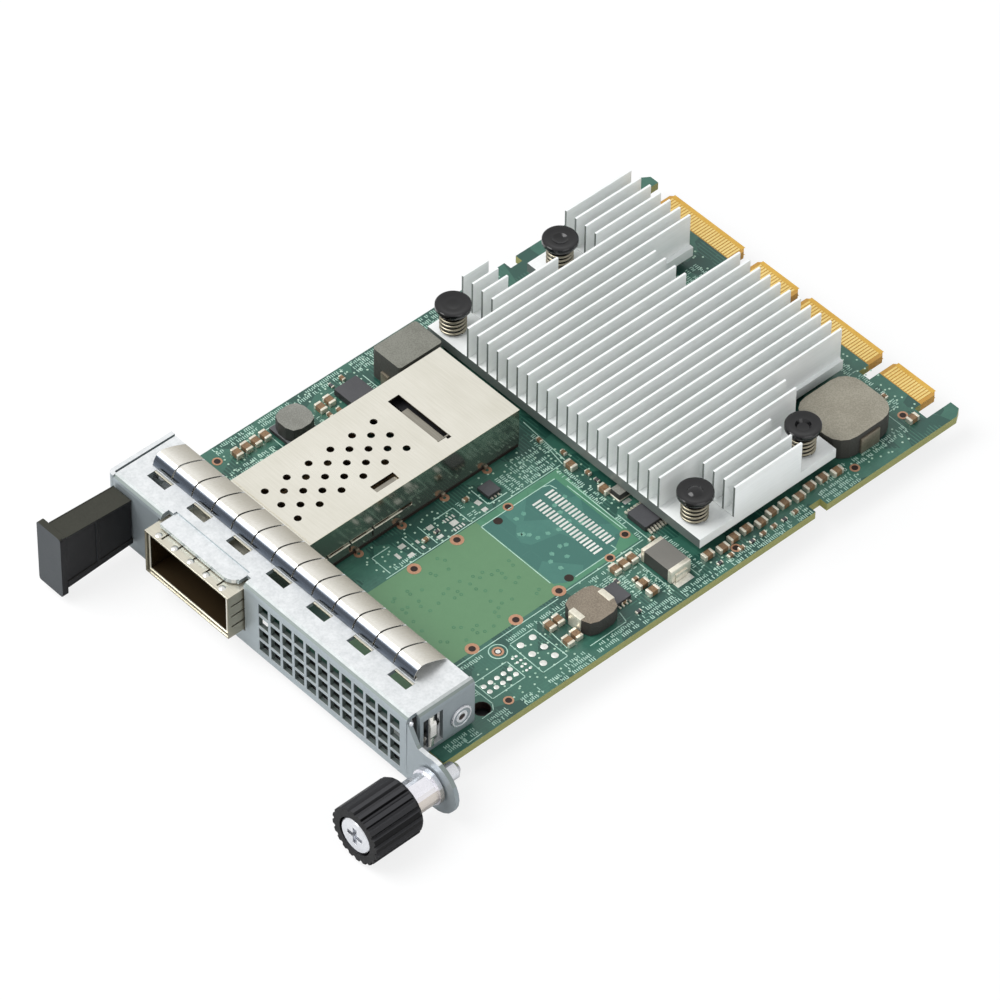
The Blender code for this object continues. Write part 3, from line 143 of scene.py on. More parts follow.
def spun(profile: list[tuple[float, float]], centre: Point = (0, 0, 0), axis: Axis = Axis.Z,
         sides: int = 32, hollow: bool = False, slot: int = 0) -> Surface:
    """Turn a profile about an axis: each point is (r cos a, r sin a, level).

    Args:
        profile: Pairs of radius and level, from one end of the axis to the other.
        centre: Where level zero of the axis lies.
        axis: Direction of the axis.
        sides: Points round the axis.
        hollow: Whether the profile closes on itself, as a ring's does.
        slot: Finish of its faces.

    Returns:
        The turned surface, capped at both ends unless it is hollow.
    """
    radius, level = np.array(profile, float).T[:, :, None]
    angle = np.linspace(0, 2 * np.pi, sides, endpoint=False)
    local = table(radius * np.cos(angle), radius * np.sin(angle), level).reshape(-1, 3)
    order = {Axis.Z: (0, 1, 2), Axis.X: (2, 0, 1), Axis.Y: (1, 2, 0)}[axis]
    return skin(local[:, order] + np.array(centre), sides, hollow, slot)


def inset(outline: np.ndarray, distance: float) -> np.ndarray:
    """Move a closed outline inwards by a distance along the mean of each corner's two normals.

    Args:
        outline: Points of the outline, taken anticlockwise.
        distance: How far each side moves.

    Returns:
        The moved points.
    """
    ahead = np.roll(outline, -1, 0) - outline
    ahead /= np.linalg.norm(ahead, axis=1, keepdims=True)
    behind = np.roll(ahead, 1, 0)
    left = table(-ahead[:, 1], ahead[:, 0])
    mean = left + table(-behind[:, 1], behind[:, 0])
    mean /= np.linalg.norm(mean, axis=1, keepdims=True)
    sharpest = 0.35
    scale = np.clip(np.einsum("ij,ij->i", mean, left), sharpest, 1.0)
    return outline + mean * (distance / scale)[:, None]


def prism(outline: list[tuple[float, float]] | np.ndarray, low: float, high: float, soft: float = 0.0,
          axis: Axis = Axis.Z) -> Surface:
    """Carry a flat outline along an axis, with its two rims eased.

    Args:
        outline: Points of the outline in the plane across the axis, in X, Y, Z order.
        low: Level of its first end.
        high: Level of its last end.
        soft: Width of the easing at both rims.
        axis: Direction that it is carried along.

    Returns:
        The closed surface.
    """
    outer = np.array(outline, float)
    area = np.sum(outer[:, 0] * np.roll(outer[:, 1], -1) - np.roll(outer[:, 0], -1) * outer[:, 1])
    outer = outer if area > 0 else outer[::-1]
    rings = [(outer, low), (outer, high)]
    if soft:
        rim, bend = inset(outer, soft), inset(outer, soft * 0.3)
        eased = soft * (1 - math.cos(math.pi / 4))
        rings = [(rim, low), (bend, low + eased), (outer, low + soft),
                 (outer, high - soft), (bend, high - eased), (rim, high)]
    flat = np.concatenate([table(*ring.T, level) for ring, level in rings])
    order = {Axis.Z: (0, 1, 2), Axis.X: (2, 0, 1), Axis.Y: (0, 2, 1)}[axis]
    return skin(flat[:, order], len(outer))


def round_box(low: Point, high: Point, radius: float, steps: int = 2, slot: int = 0) -> Surface:
    """A box with round edges: each corner octant of a ball, pushed out to its corner.

    Args:
        low: Lowest corner.
        high: Highest corner.
        radius: Radius of the edges.
        steps: Faces across each rounded edge.
        slot: Finish of its faces.

    Returns:
        The closed surface.
    """
    quarter = np.linspace(0, np.pi / 2, steps + 1)
    around = np.concatenate([quarter + k * np.pi / 2 for k in range(4)])
    up = np.concatenate((quarter - np.pi / 2, quarter))[:, None]
    sign_u, sign_v = np.repeat((1, -1, -1, 1), steps + 1), np.repeat((1, 1, -1, -1), steps + 1)
    sign_w = np.repeat((-1, 1), steps + 1)[:, None]
    low, high = np.array(low, float), np.array(high, float)
    half = (high - low) / 2 - radius
    points = table(radius * np.cos(up) * np.cos(around) + half[0] * sign_u,
                   radius * np.cos(up) * np.sin(around) + half[1] * sign_v,
                   radius * np.sin(up) + half[2] * sign_w).reshape(-1, 3)
    return skin(points + (high + low) / 2, len(around), slot=slot)


def tube(path: np.ndarray, radius: float, sides: int = 8) -> Surface:
    """Carry a circle along a path: its plane is spanned by the path's normal and binormal.

    Args:
        path: Points of the path.
        radius: Radius of the circle.
        sides: Points round the circle.

    Returns:
        The closed surface.
    """
    along = np.gradient(path, axis=0)
    along /= np.linalg.norm(along, axis=1, keepdims=True)
    side = np.cross(along, (0.0, 0.0, 1.0))
    side /= np.maximum(np.linalg.norm(side, axis=1, keepdims=True), 1e-9)
    over = np.cross(side, along)
    angle = np.linspace(0, 2 * np.pi, sides, endpoint=False)[:, None]
    ring = side[:, None, :] * np.cos(angle) + over[:, None, :] * np.sin(angle)
    return skin((path[:, None, :] + radius * ring).reshape(-1, 3), sides)


def copies(part: Surface, places: np.ndarray | list[tuple[float, float]],
           turns: np.ndarray | float = 0.0) -> Surface:
    """Repeat a small surface at many places, each turned about Z by its own angle.

    Args:
        part: The surface, built round the frame's zero.
        places: One point for each copy, or one flat place, which lies on the board.
        turns: Angles in radians, one for each copy or one for all.

    Returns:
        One surface that holds all the copies.
    """
    places = np.asarray(places, float)
    places = np.pad(places, ((0, 0), (0, 3 - places.shape[1])))
    angle = np.broadcast_to(turns, len(places))[:, None]
    c, s = np.cos(angle), np.sin(angle)
    x, y, z = part.points.T
    points = (table(x * c - y * s, x * s + y * c, z) + places[:, None, :]).reshape(-1, 3)
    shift = (np.arange(len(places)) * len(part.points))[:, None, None]
    return Surface(points, [((f[None] + shift).reshape(-1, f.shape[1]), slot) for f, slot in part.faces])


def plates(rows: np.ndarray, low: float, high: float) -> Surface:
    """Thin flat plates, each given by its centre, its two sizes and its turn about Z.

    Args:
        rows: One row for each plate: x, y, length, width, angle in degrees.
        low: Level of their undersides.
        high: Level of their tops.

    Returns:
        One surface that holds all the plates.
    """
    x, y, long, wide, angle = np.asarray(rows, float).T[:, :, None]
    c, s = np.cos(np.radians(angle)), np.sin(np.radians(angle))
    u, v = np.array((-0.5, 0.5, 0.5, -0.5)) * long, np.array((-0.5, -0.5, 0.5, 0.5)) * wide
    points = np.concatenate([table(x + u * c - v * s, y + u * s + v * c, level) for level in (low, high)], 1)
    face = np.array([(0, 3, 2, 1), (4, 5, 6, 7), (0, 1, 5, 4), (1, 2, 6, 5), (2, 3, 7, 6), (3, 0, 4, 7)])
    faces = (face[None] + (np.arange(len(points)) * 8)[:, None, None]).reshape(-1, 4)
    return Surface(points.reshape(-1, 3), [(faces, 0)])


def to_row(points: np.ndarray | Point) -> np.ndarray:
    """Turn card millimetres to row metres."""
    return (np.asarray(points, float) - ORIGIN) / 1000


# ---------------------------------------------------------------------------------- finishes

def linear(code: str) -> tuple[float, float, float, float]:
    """Turn an sRGB hex colour to linear red, green, blue and alpha."""
    parts = [int(code[k:k + 2], 16) / 255 for k in (1, 3, 5)]
    return (*[c / 12.92 if c <= 0.04045 else ((c + 0.055) / 1.055) ** 2.4 for c in parts], 1.0)


def add_node(tree: bpy.types.NodeTree, kind: str, settings: dict[str, object] | None = None,
             inputs: dict[str | int, object] | None = None,
             stops: tuple[tuple[float, str], ...] = ()) -> bpy.types.Node:
    """Add a shader node, set its properties and fill or link its inputs.

    Args:
        tree: The material's or world's node tree.
        kind: Blender's name for the node, without its first word.
        settings: Properties to set.
        inputs: Input names or numbers, each with a value, a socket or a node, whose first output
            is then linked.
        stops: Places from 0 to 1 on a colour scale, each with its hex colour.

    Returns:
        The new node.
    """
    made = tree.nodes.new("ShaderNode" + kind)
    for key, value in (settings or {}).items():
        setattr(made, key, value)
    for key, value in (inputs or {}).items():
        if isinstance(value, bpy.types.Node):
            value = value.outputs[0]
        if isinstance(value, bpy.types.NodeSocket):
            tree.links.new(value, made.inputs[key])
        else:
            made.inputs[key].default_value = value
    for number, (place, colour) in enumerate(stops):
        if number >= len(made.color_ramp.elements):
            made.color_ramp.elements.new(place)
        made.color_ramp.elements[number].position = place
        made.color_ramp.elements[number].color = linear(colour)
    return made


def new_tree(name: str) -> tuple[bpy.types.Material, bpy.types.NodeTree]:
    """Make a material and empty its node tree."""
    made = bpy.data.materials.new(name)
    made.use_nodes = True
    made.node_tree.nodes.clear()
    return made, made.node_tree


@dataclass(frozen=True)
class PaintedFacingLight:
    """A second tone of painted light or shade for the faces of a finish that look one way.

    The share of the tone rises from 0 to 1 while the face's direction along ``toward`` goes from
    ``start`` to ``full``.
    """

    tone: str
    toward: Point
    start: float
    full: float
    rougher: float = 1.0


@dataclass(frozen=True)
class PaintedShadeInBox:
    """A second tone of painted shade for what lies inside a box of the card, such as a deep port's walls."""

    tone: str
    low: Point
    high: Point


@dataclass(frozen=True)
class Finish:
    """A real surface: its two tones, its gloss and the relief that its making leaves."""

    name: str
    tone: str
    shade: str
    metallic: float
    roughness: float
    grain: Grain
    grain_mm: float
    relief_mm: float
    cloud_mm: float = 9.0
    turned: tuple[PaintedFacingLight, ...] = ()
    inside: PaintedShadeInBox | None = None
    edge_mm: float = 0.0
    gloss: float = 0.5
    streak: float = 24.0

    def build(self) -> bpy.types.Material:
        """Build the material.

        Clouds of a few millimetres shift tone and gloss, grain of the real size gives relief, and
        faces that look a named way or lie in a named box take a tone of painted light or shade.

        Returns:
            The finished material.
        """
        made, tree = new_tree(self.name)
        add = partial(add_node, tree)
        coords = add("TexCoord")
        place = coords.outputs["Object"]
        stretch = {Grain.ROLLED_X: (1 / self.streak, 1, 1), Grain.ROLLED_Y: (1, 1 / self.streak, 1)}
        scale = [1000 / self.grain_mm * s for s in stretch.get(self.grain, (1, 1, 1))]
        local = add("Mapping", {}, {"Vector": place, "Scale": scale})
        if self.grain is Grain.PRESSED:
            height = add("TexVoronoi", {"feature": "F1"}, {"Vector": local, "Scale": 1.0})
        else:
            height = add("TexNoise", {}, {"Vector": local, "Scale": 1.0, "Detail": 4.0, "Roughness": 0.6})
        cloud = add("TexNoise", {}, {"Vector": place, "Scale": 1000 / self.cloud_mm, "Detail": 3.0,
                                     "Roughness": 0.55})
        blend = add("Mix", {"data_type": "FLOAT"}, {0: 0.45, 2: cloud, 3: height})
        colour = add("ValToRGB", {}, {"Fac": blend}, ((0.34, self.shade), (0.62, self.tone))).outputs[0]
        rough = add("MapRange", {}, {"Value": blend, "From Min": 0.3, "From Max": 0.7,
                                     "To Min": self.roughness * 1.18, "To Max": self.roughness * 0.85})
        # faces that look one way take a tone of painted light or shade
        for turn in self.turned:
            facing = add("VectorMath", {"operation": "DOT_PRODUCT"},
                         {0: coords.outputs["Normal"], 1: turn.toward}).outputs["Value"]
            share = add("MapRange", {"interpolation_type": "SMOOTHSTEP"},
                        {"Value": facing, "From Min": turn.start, "From Max": turn.full})
            colour = add("Mix", {"data_type": "RGBA"}, {0: share, 6: colour, 7: linear(turn.tone)}).outputs[2]
            if turn.rougher != 1.0:
                rough = add("Mix", {"data_type": "FLOAT"},
                            {0: share, 2: rough, 3: self.roughness * turn.rougher})
        # what lies in the box takes a tone of painted shade
        if self.inside:
            low, high = to_row(self.inside.low), to_row(self.inside.high)
            share = place
            for operation, value in (("SUBTRACT", (low + high) / 2), ("DIVIDE", (high - low) / 2),
                                     ("ABSOLUTE", (0.0, 0.0, 0.0))):
                share = add("VectorMath", {"operation": operation}, {0: share, 1: tuple(value)})
            sides = add("SeparateXYZ", {}, {0: share}).outputs
            most = add("Math", {"operation": "MAXIMUM"}, {0: sides["X"], 1: sides["Y"]})
            most = add("Math", {"operation": "MAXIMUM"}, {0: most, 1: sides["Z"]})
            within = add("Math", {"operation": "LESS_THAN"}, {0: most, 1: 1.0})
            colour = add("Mix", {"data_type": "RGBA"},
                         {0: within, 6: colour, 7: linear(self.inside.tone)}).outputs[2]
        bump = {"Strength": 1.0, "Distance": self.relief_mm / 1000, "Height": height}
        if self.edge_mm:
            bump["Normal"] = add("Bevel", {"samples": 4}, {"Radius": self.edge_mm / 1000})
        shader = add("BsdfPrincipled", {}, {
            "Base Color": colour, "Metallic": self.metallic, "Roughness": rough,
            "Normal": add("Bump", {}, bump), "Specular IOR Level": self.gloss})
        add("OutputMaterial", {}, {"Surface": shader})
        return made


@dataclass(frozen=True)
class SolderMask:
    """Green epoxy solder mask over copper, with the bare glass epoxy edge of the board.

    The copper under the mask shows as paler, slightly raised lines and fills, the cut edge is a
    matt olive laminate with fine glass layers, and behind ``bare_from`` the edge fingers' laminate
    shows amber, up to ``bare_half`` from the board's centre line.
    """

    name: str
    over_copper: str
    over_laminate: str
    track_mm: float = 0.62
    fill_share: float = 0.5
    track_light: float = 0.75
    bare_from: float = 200.0
    bare_half: float = 34.5

    def build(self) -> bpy.types.Material:
        """Build the material: tracks from two sets of bricks, fills from large cells, edge by normal.

        Returns:
            The finished material.
        """
        made, tree = new_tree(self.name)
        add = partial(add_node, tree)
        coords = add("TexCoord")
        place = coords.outputs["Object"]
        local = add("Mapping", {}, {"Vector": place, "Scale": (1000.0, 1000.0, 1000.0)})
        cells = add("TexVoronoi", {"feature": "F1"}, {"Vector": local, "Scale": 0.17, "Randomness": 1.0})
        weave = add("TexNoise", {}, {"Vector": local, "Scale": 0.55, "Detail": 6.0, "Roughness": 0.75})
        runs = []
        for turn, offset in ((0.0, 0.37), (math.pi / 2, 0.43)):
            turned = add("Mapping", {}, {"Vector": local, "Rotation": (0.0, 0.0, turn)})
            runs.append(add("TexBrick", {"offset": offset, "squash": 1.0}, {
                "Vector": turned, "Color1": (0, 0, 0, 1), "Color2": (0, 0, 0, 1), "Mortar": (1, 1, 1, 1),
                "Scale": 1.0, "Mortar Size": 0.11, "Mortar Smooth": 0.3, "Brick Width": 9.7,
                "Row Height": self.track_mm}))
        # tracks run one way in some cells and the other way in others, and pause where no copper is
        way = add("Math", {"operation": "GREATER_THAN"}, {0: cells.outputs["Color"], 1: 0.5})
        run = add("Mix", {"data_type": "FLOAT"}, {0: way, 2: runs[0], 3: runs[1]})
        pause = add("TexNoise", {}, {"Vector": local, "Scale": 0.23, "Detail": 1.0})
        pause = add("MapRange", {}, {"Value": pause, "From Min": 0.47, "From Max": 0.52,
                                     "To Max": self.track_light})
        lines = add("Math", {"operation": "MULTIPLY"}, {0: run, 1: pause})
        spread = add("SeparateColor", {}, {0: cells.outputs["Color"]}).outputs["Green"]
        cover = add("Math", {"operation": "GREATER_THAN"}, {0: spread, 1: 1 - self.fill_share})
        cover = add("Math", {"operation": "MULTIPLY"}, {0: cover, 1: 0.62})
        lift = add("Math", {"operation": "MAXIMUM"}, {0: cover, 1: lines})
        cloud = add("MapRange", {}, {"Value": weave, "From Min": 0.3, "From Max": 0.7, "To Min": 0.55,
                                     "To Max": 1.0})
        tone = add("Math", {"operation": "MULTIPLY"}, {0: lift, 1: cloud})
        colour = add("ValToRGB", {}, {"Fac": tone}, ((0.1, self.over_laminate), (0.8, self.over_copper)))
        # the cut edge, with its glass layers
        layers = add("TexWave", {"bands_direction": "Z"},
                     {"Vector": local, "Scale": 1.6, "Distortion": 1.2, "Detail": 2.0}).outputs["Fac"]
        edge = add("ValToRGB", {}, {"Fac": layers}, ((0.2, "#75783f"), (0.9, "#9c9c5c")))
        upright = add("SeparateXYZ", {}, {0: coords.outputs["Normal"]}).outputs["Z"]
        upright = add("Math", {"operation": "ABSOLUTE"}, {0: upright})
        top = add("Math", {"operation": "GREATER_THAN"}, {0: upright, 1: 0.5})
        mixed = add("Mix", {"data_type": "RGBA"}, {0: top, 6: edge, 7: colour}).outputs[2]
        # the amber laminate of the tongues
        back = add("SeparateXYZ", {}, {0: place}).outputs
        centre_x, bare_y, _ = to_row((0.0, self.bare_from, 0.0)).tolist()
        bare = add("Math", {"operation": "GREATER_THAN"}, {0: back["Y"], 1: bare_y})
        between = add("Math", {"operation": "COMPARE"}, {0: back["X"], 1: centre_x, 2: self.bare_half / 1000})
        bare = add("Math", {"operation": "MULTIPLY"}, {0: bare, 1: between})
        mixed = add("Mix", {"data_type": "RGBA"}, {0: bare, 6: mixed, 7: linear("#b98a35")}).outputs[2]
        gloss = add("MapRange", {}, {"Value": top, "To Min": 0.75, "To Max": 0.36})
        bump = add("Bump", {}, {"Strength": 0.6, "Distance": 0.00003, "Height": lift})
        shader = add("BsdfPrincipled", {}, {"Base Color": mixed, "Roughness": gloss, "Normal": bump,
                                            "Coat Weight": 0.2, "Coat Roughness": 0.2})
        add("OutputMaterial", {}, {"Surface": shader})
        return made


# electroplated zinc on sheet steel: soft grey with faint clouds; its folds take a painted darker
# reflection, its front and right side a painted shade, and the walls of its vents a painted shade
ZINC = Finish("zinc_plated_steel", "#dfe1e2", "#c6c9ca", 0.5, 0.44, Grain.PLATED, 0.5, 0.0035, 1.6,
              (PaintedFacingLight("#79827f", (0.0, -0.707, 0.707), 0.8, 0.93),
               PaintedFacingLight("#79827f", (0.707, 0.0, 0.707), 0.8, 0.93),
               PaintedFacingLight("#99a2a6", TO_FRONT, 0.75, 0.95), PaintedFacingLight("#868f93", TO_RIGHT, 0.75, 0.95)),
              PaintedShadeInBox("#6a7371", (-3.4, 0.06, -4.4), (34.6, 0.76, 8.9)))
# tin plated spring steel: bright, mirror soft, with fine drawing lines
SPRING = Finish("tin_plated_spring_steel", "#e2e1dc", "#c9c8c4", 1.0, 0.2, Grain.ROLLED_Y, 0.2, 0.0012, 11.0)
# the gasket's fingers: spring steel, bright over the crest; their front wall takes a painted dull
# grey shade and their back a painted warm shade
FINGER = Finish("spring_steel_painted_shade", "#f0eee7", "#dfdcd2", 1.0, 0.22, Grain.ROLLED_Y, 0.2, 0.0012, 11.0,
                (PaintedFacingLight("#4d535c", (0.0, -0.94, 0.34), 0.62, 0.9),
                 PaintedFacingLight("#8f8876", (0.0, 0.94, 0.34), 0.5, 0.88)))
# nickel silver sheet: warm grey, satin; its right-facing walls, which nothing rubs, are smoother
# and take a painted shade, and the port's inside takes a painted brown shade
NICKEL = Finish("nickel_silver_sheet", "#e3e0d5", "#d3d0c3", 0.9, 0.3, Grain.ROLLED_X, 0.22, 0.0018, 14.0,
                (PaintedFacingLight("#8f938a", TO_RIGHT, 0.5, 0.9, 0.45),),
                PaintedShadeInBox("#6a583f", (-23.85, -2.75, 0.5), (-5.15, 59.5, 8.42)))
# phosphor bronze with a dull nickel flash: grey beige; its right and front faces take a painted
# shade, and the port's inside a painted brown shade
BRONZE = Finish("nickel_flashed_bronze", "#d9d5c6", "#c3beae", 0.85, 0.33, Grain.ROLLED_X, 0.22, 0.0018, 10.0,
                (PaintedFacingLight("#a9a594", TO_RIGHT, 0.5, 0.9), PaintedFacingLight("#8c8674", TO_FRONT, 0.5, 0.9)),
                PaintedShadeInBox("#6a583f", (-23.95, -3.2, 0.45), (-5.05, 59.5, 8.5)))
# extruded aluminium, etched: pale, with die lines along the fins; the front-facing ends take a
# painted shade
ALUMINIUM = Finish("etched_aluminium", "#f2f4f3", "#e8ebe9", 0.12, 0.4, Grain.ROLLED_Y, 0.3, 0.003, 10.0,
                   (PaintedFacingLight("#646b68", TO_FRONT, 0.5, 0.9),), edge_mm=0.06)
# the tab's nylon: olive black; its front wall takes a painted blue grey shade and its right wall
# a painted near black shade
TAB = Finish("tab_nylon", "#393932", "#31312b", 0.0, 0.45, Grain.MOULDED, 0.35, 0.006,
             turned=(PaintedFacingLight("#3d4144", TO_FRONT, 0.5, 0.9), PaintedFacingLight("#111113", TO_RIGHT, 0.5, 0.9)),
             edge_mm=0.15, gloss=0.16)
# the knob's nylon: black in the flutes, with a painted highlight where the ribs face up
KNOB = Finish("fluted_nylon", "#0e0e0f", "#0a0a0b", 0.0, 0.36, Grain.MOULDED, 0.35, 0.006,
              turned=(PaintedFacingLight("#3c3c3e", (0.2, 0.0, 0.98), 0.55, 1.0),), edge_mm=0.12, gloss=0.1)
# glossy nylon of the push pins
PIN = Finish("glossy_nylon", "#101012", "#0a0a0b", 0.0, 0.16, Grain.MOULDED, 0.6, 0.002, gloss=0.42)
# music wire of the coil springs: oiled, so that it looks dark beige
WIRE = Finish("oiled_spring_wire", "#9b9585", "#75705f", 0.9, 0.3, Grain.PLATED, 0.3, 0.002)
# nickel plated steel, turned
STEEL = Finish("nickel_plated_steel", "#dcdde0", "#c4c6ca", 0.9, 0.24, Grain.PLATED, 0.3, 0.002, edge_mm=0.1)
# the ferrule's turned barrel: white along its crown, with a painted warm shade on its lower right side
BARREL = Finish("turned_barrel", "#efeef3", "#e2e1e7", 0.9, 0.2, Grain.PLATED, 0.3, 0.001,
                turned=(PaintedFacingLight("#c9c1b9", (0.94, 0.0, -0.34), 0.5, 0.62),), edge_mm=0.1)
# tin plated copper terminals: bright, a little warm
TIN = Finish("tinned_copper_terminal", "#e6e1d2", "#c9c3b1", 0.6, 0.34, Grain.PLATED, 0.4, 0.004)
# the power inductors' straps: tinned copper gone dull and brown
STRAP = Finish("dull_tinned_strap", "#8d8474", "#6b6355", 0.6, 0.4, Grain.PLATED, 0.4, 0.004)
# hard gold over nickel on the contacts: pale where it shines, and deeper at their bevelled lip
GOLD = Finish("hard_gold_plate", "#f2d88f", "#e0be6c", 0.8, 0.26, Grain.PLATED, 0.4, 0.002)
DEEP_GOLD = Finish("gold_bevel", "#dfb55a", "#c99c42", 0.75, 0.35, Grain.PLATED, 0.4, 0.003)
# solder, reflowed: bright and lumpy
SOLDER = Finish("reflowed_solder", "#eeeee8", "#cdcec8", 0.7, 0.3, Grain.PLATED, 0.5, 0.03)
# bare copper with an organic film round holes: salmon
COPPER = Finish("coated_copper", "#c09377", "#a1765c", 0.5, 0.42, Grain.PLATED, 0.3, 0.003)
# painted shade for the inside of holes, slits and gaps: dark brown
HOLE_SHADE = Finish("painted_hole_shade", "#2a1a12", "#140c08", 0.3, 0.5, Grain.PLATED, 0.3, 0.003)
# epoxy marking ink: chalky, thin at its edges, so that the green mask shows through it
INK = Finish("epoxy_marking_ink", "#bcd9cb", "#8bb5a4", 0.0, 0.6, Grain.MOULDED, 0.15, 0.003, 1.5)
# tented via holes: small rings of thin mask, darker than the copper around
TENTED = Finish("tented_via", "#4f7f5e", "#3c6a4c", 0.0, 0.45, Grain.MOULDED, 0.2, 0.004, 2.0)
# bare tin in small vias: bright dots
VIA = Finish("tinned_via", "#bcd6c4", "#93b9a3", 0.2, 0.4, Grain.PLATED, 0.3, 0.004, 2.0)
# barium titanate ceramic of chip capacitors: tan brown
CERAMIC = Finish("capacitor_ceramic", "#85694a", "#664d36", 0.0, 0.42, Grain.PRESSED, 0.2, 0.004, 2.0)
# moulded resin of the tantalum capacitor: grey, with a painted shade at its sides
RESIN = Finish("tantalum_resin", "#74726c", "#62605b", 0.0, 0.5, Grain.MOULDED, 0.12, 0.005,
               turned=(PaintedFacingLight("#33322f", TO_BOTTOM, -0.7, -0.3),))
# moulded epoxy of chips: matt black, finely pitted, with a painted shade at their sides
EPOXY = Finish("chip_epoxy", "#4a4a4d", "#3c3c3f", 0.0, 0.55, Grain.MOULDED, 0.12, 0.006,
               turned=(PaintedFacingLight("#232325", TO_BOTTOM, -0.7, -0.3),))
# pressed iron powder core: grey beige and speckled, with a painted shade at its sides; the
# tall inductor is of a darker grade
POWDER = Finish("pressed_iron_powder", "#938e80", "#827d6f", 0.1, 0.62, Grain.PRESSED, 0.28, 0.01, 5.0,
                (PaintedFacingLight("#34332f", TO_BOTTOM, -0.75, -0.3),))
DARK_POWDER = Finish("dark_iron_powder", "#7d7d74", "#6a6a61", 0.1, 0.6, Grain.PRESSED, 0.28, 0.01, 5.0,
                     (PaintedFacingLight("#3a3a36", TO_BOTTOM, -0.75, -0.3),))
# ferrite moulding of small chokes: cooler grey with a painted near black shade at their sides;
# the right choke is brownish
FERRITE = Finish("moulded_ferrite", "#86867f", "#72726b", 0.1, 0.6, Grain.PRESSED, 0.22, 0.008, 4.0,
                 (PaintedFacingLight("#2b2b29", TO_BOTTOM, -0.75, -0.3),))
BROWN_FERRITE = Finish("brown_ferrite", "#867b6c", "#6f6557", 0.1, 0.6, Grain.PRESSED, 0.22, 0.008, 4.0,
                       (PaintedFacingLight("#2f2d2a", TO_BOTTOM, -0.75, -0.3),))
# polycarbonate insulating film
FILM = Finish("polycarbonate_film", "#1d1e20", "#151618", 0.0, 0.38, Grain.MOULDED, 0.5, 0.004, 20.0)
# silicone thermal pad
PAD = Finish("silicone_pad", "#a3a7b3", "#9095a2", 0.0, 0.8, Grain.MOULDED, 0.3, 0.01)
# liquid crystal polymer of the receptacle
POLYMER = Finish("black_polymer", "#232325", "#19191b", 0.0, 0.5, Grain.MOULDED, 0.3, 0.005)
# the bent down tongues of the cage: the same sheet, in shade
FLAP = Finish("shaded_nickel_silver", "#9a968b", "#7d796f", 0.8, 0.35, Grain.ROLLED_X, 0.22, 0.0018, 8.0)
# copper islands under the mask: paler clouds
PATCH = Finish("masked_copper_patch", "#6a9a88", "#4d8375", 0.0, 0.45, Grain.MOULDED, 0.4, 0.004, 2.0)
# the green mask, and its tones over copper planes and over bare laminate
MASK = SolderMask("solder_mask", "#3c6e5d", "#1a473d", bare_from=BOARD_REAR - 4.0)
PALE_MASK = SolderMask("solder_mask_over_copper_plane", "#5b835e", "#537b57", 6.0, 0.9, 0.2)
MIDDLE_MASK = SolderMask("solder_mask_over_ground_plane", "#4c8465", "#3f765a", 4.0, 0.8, 0.3)
DEEP_MASK = SolderMask("solder_mask_over_laminate", "#41776a", "#30645a", 3.1, 0.4, 0.3)


@cache
def material(finish: Finish | SolderMask) -> bpy.types.Material:
    """Build the material of a finish, once for all that take it."""
    return finish.build()


def dress(finish: Finish | SolderMask, *nodes: str) -> None:
    """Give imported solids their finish.

    Args:
        finish: The finish.
        nodes: Names of the solids.
    """
    for node in nodes:
        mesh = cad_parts[node].data
        mesh.materials.clear()
        mesh.materials.append(material(finish))


def stand(name: str, data: bpy.types.ID) -> bpy.types.Object:
    """Put an object with some data into the scene.

    Args:
        name: The object's name.
        data: Its mesh, lamp or camera.

    Returns:
        The new object.
    """
    item = bpy.data.objects.new(name, data)
    bpy.context.scene.collection.objects.link(item)
    return item


def piece(name: str, surface: Surface, *finishes: Finish | SolderMask, body: str = "card",
          smooth: float = 35.0, replaces: tuple[str, ...] = ()) -> None:
    """Put a surface into the scene as a piece that rides on a body.

    Args:
        name: The piece's name.
        surface: Its points and faces.
        finishes: Its finishes, in the order of the surface's finish numbers.
        body: The body that it rides on.
        smooth: Angle in degrees above which an edge stays sharp.
        replaces: Solids that it stands for.
    """
    mesh = bpy.data.meshes.new(name)
    faces = [row for f, _ in surface.faces for row in f.tolist()]
    mesh.from_pydata(to_row(surface.points).tolist(), [], faces)
    slots = np.concatenate([np.full(len(f), slot, np.int32) for f, slot in surface.faces])
    mesh.polygons.foreach_set("material_index", slots)
    for finish in finishes:
        mesh.materials.append(material(finish))
    bm = bmesh.new()
    bm.from_mesh(mesh)
    bmesh.ops.remove_doubles(bm, verts=bm.verts, dist=1e-7)
    bmesh.ops.recalc_face_normals(bm, faces=bm.faces)
    bm.to_mesh(mesh)
    bm.free()
    mesh.shade_smooth()
    mesh.set_sharp_from_angle(angle=math.radians(smooth))
    item = stand(name, mesh)
    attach(item, body)
    if replaces:
        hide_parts(*replaces)
    LOG.info("%s: %d faces", name, len(mesh.polygons))


# ---------------------------------------------------------------------------------- board

def washer(bore: float, rim: float, high: float = 0.03, level: float = 0.012, sides: int = 14,
           slot: int = 0) -> Surface:
    """A thin flat ring on the board.

    Args:
        bore: Radius of its hole.
        rim: Radius of its rim.
        high: Its thickness.
        level: Where its underside lies.
        sides: Points round it.
        slot: Its finish.

    Returns:
        The ring, round the frame's zero.
    """
    return spun([(bore, 0.0), (bore, high), (rim, high), (rim, 0.0)], (0, 0, level), sides=sides,
                hollow=True, slot=slot)


def chip_part(long: float, wide: float, high: float, cap: float = 0.3) -> Surface:
    """A small two-ended part, lying along X: a body and an end cap of tin over each end.

    Args:
        long: Length over its ends.
        wide: Width of its ends.
        high: Height of its ends above the board.
        cap: Length of each end.

    Returns:
        The surface, with the body in finish 0 and the ends in finish 1.
    """
    under, lap = 0.015, 0.05
    body = round_box((cap - long / 2 - lap, under - wide / 2, 0.0),
                     (long / 2 - cap + lap, wide / 2 - under, high - under), 0.03, 1)
    return join([body] + [round_box((low, -wide / 2, 0.0), (low + cap, wide / 2, high), 0.06, 1, 1)
                          for low in (-long / 2, long / 2 - cap)])


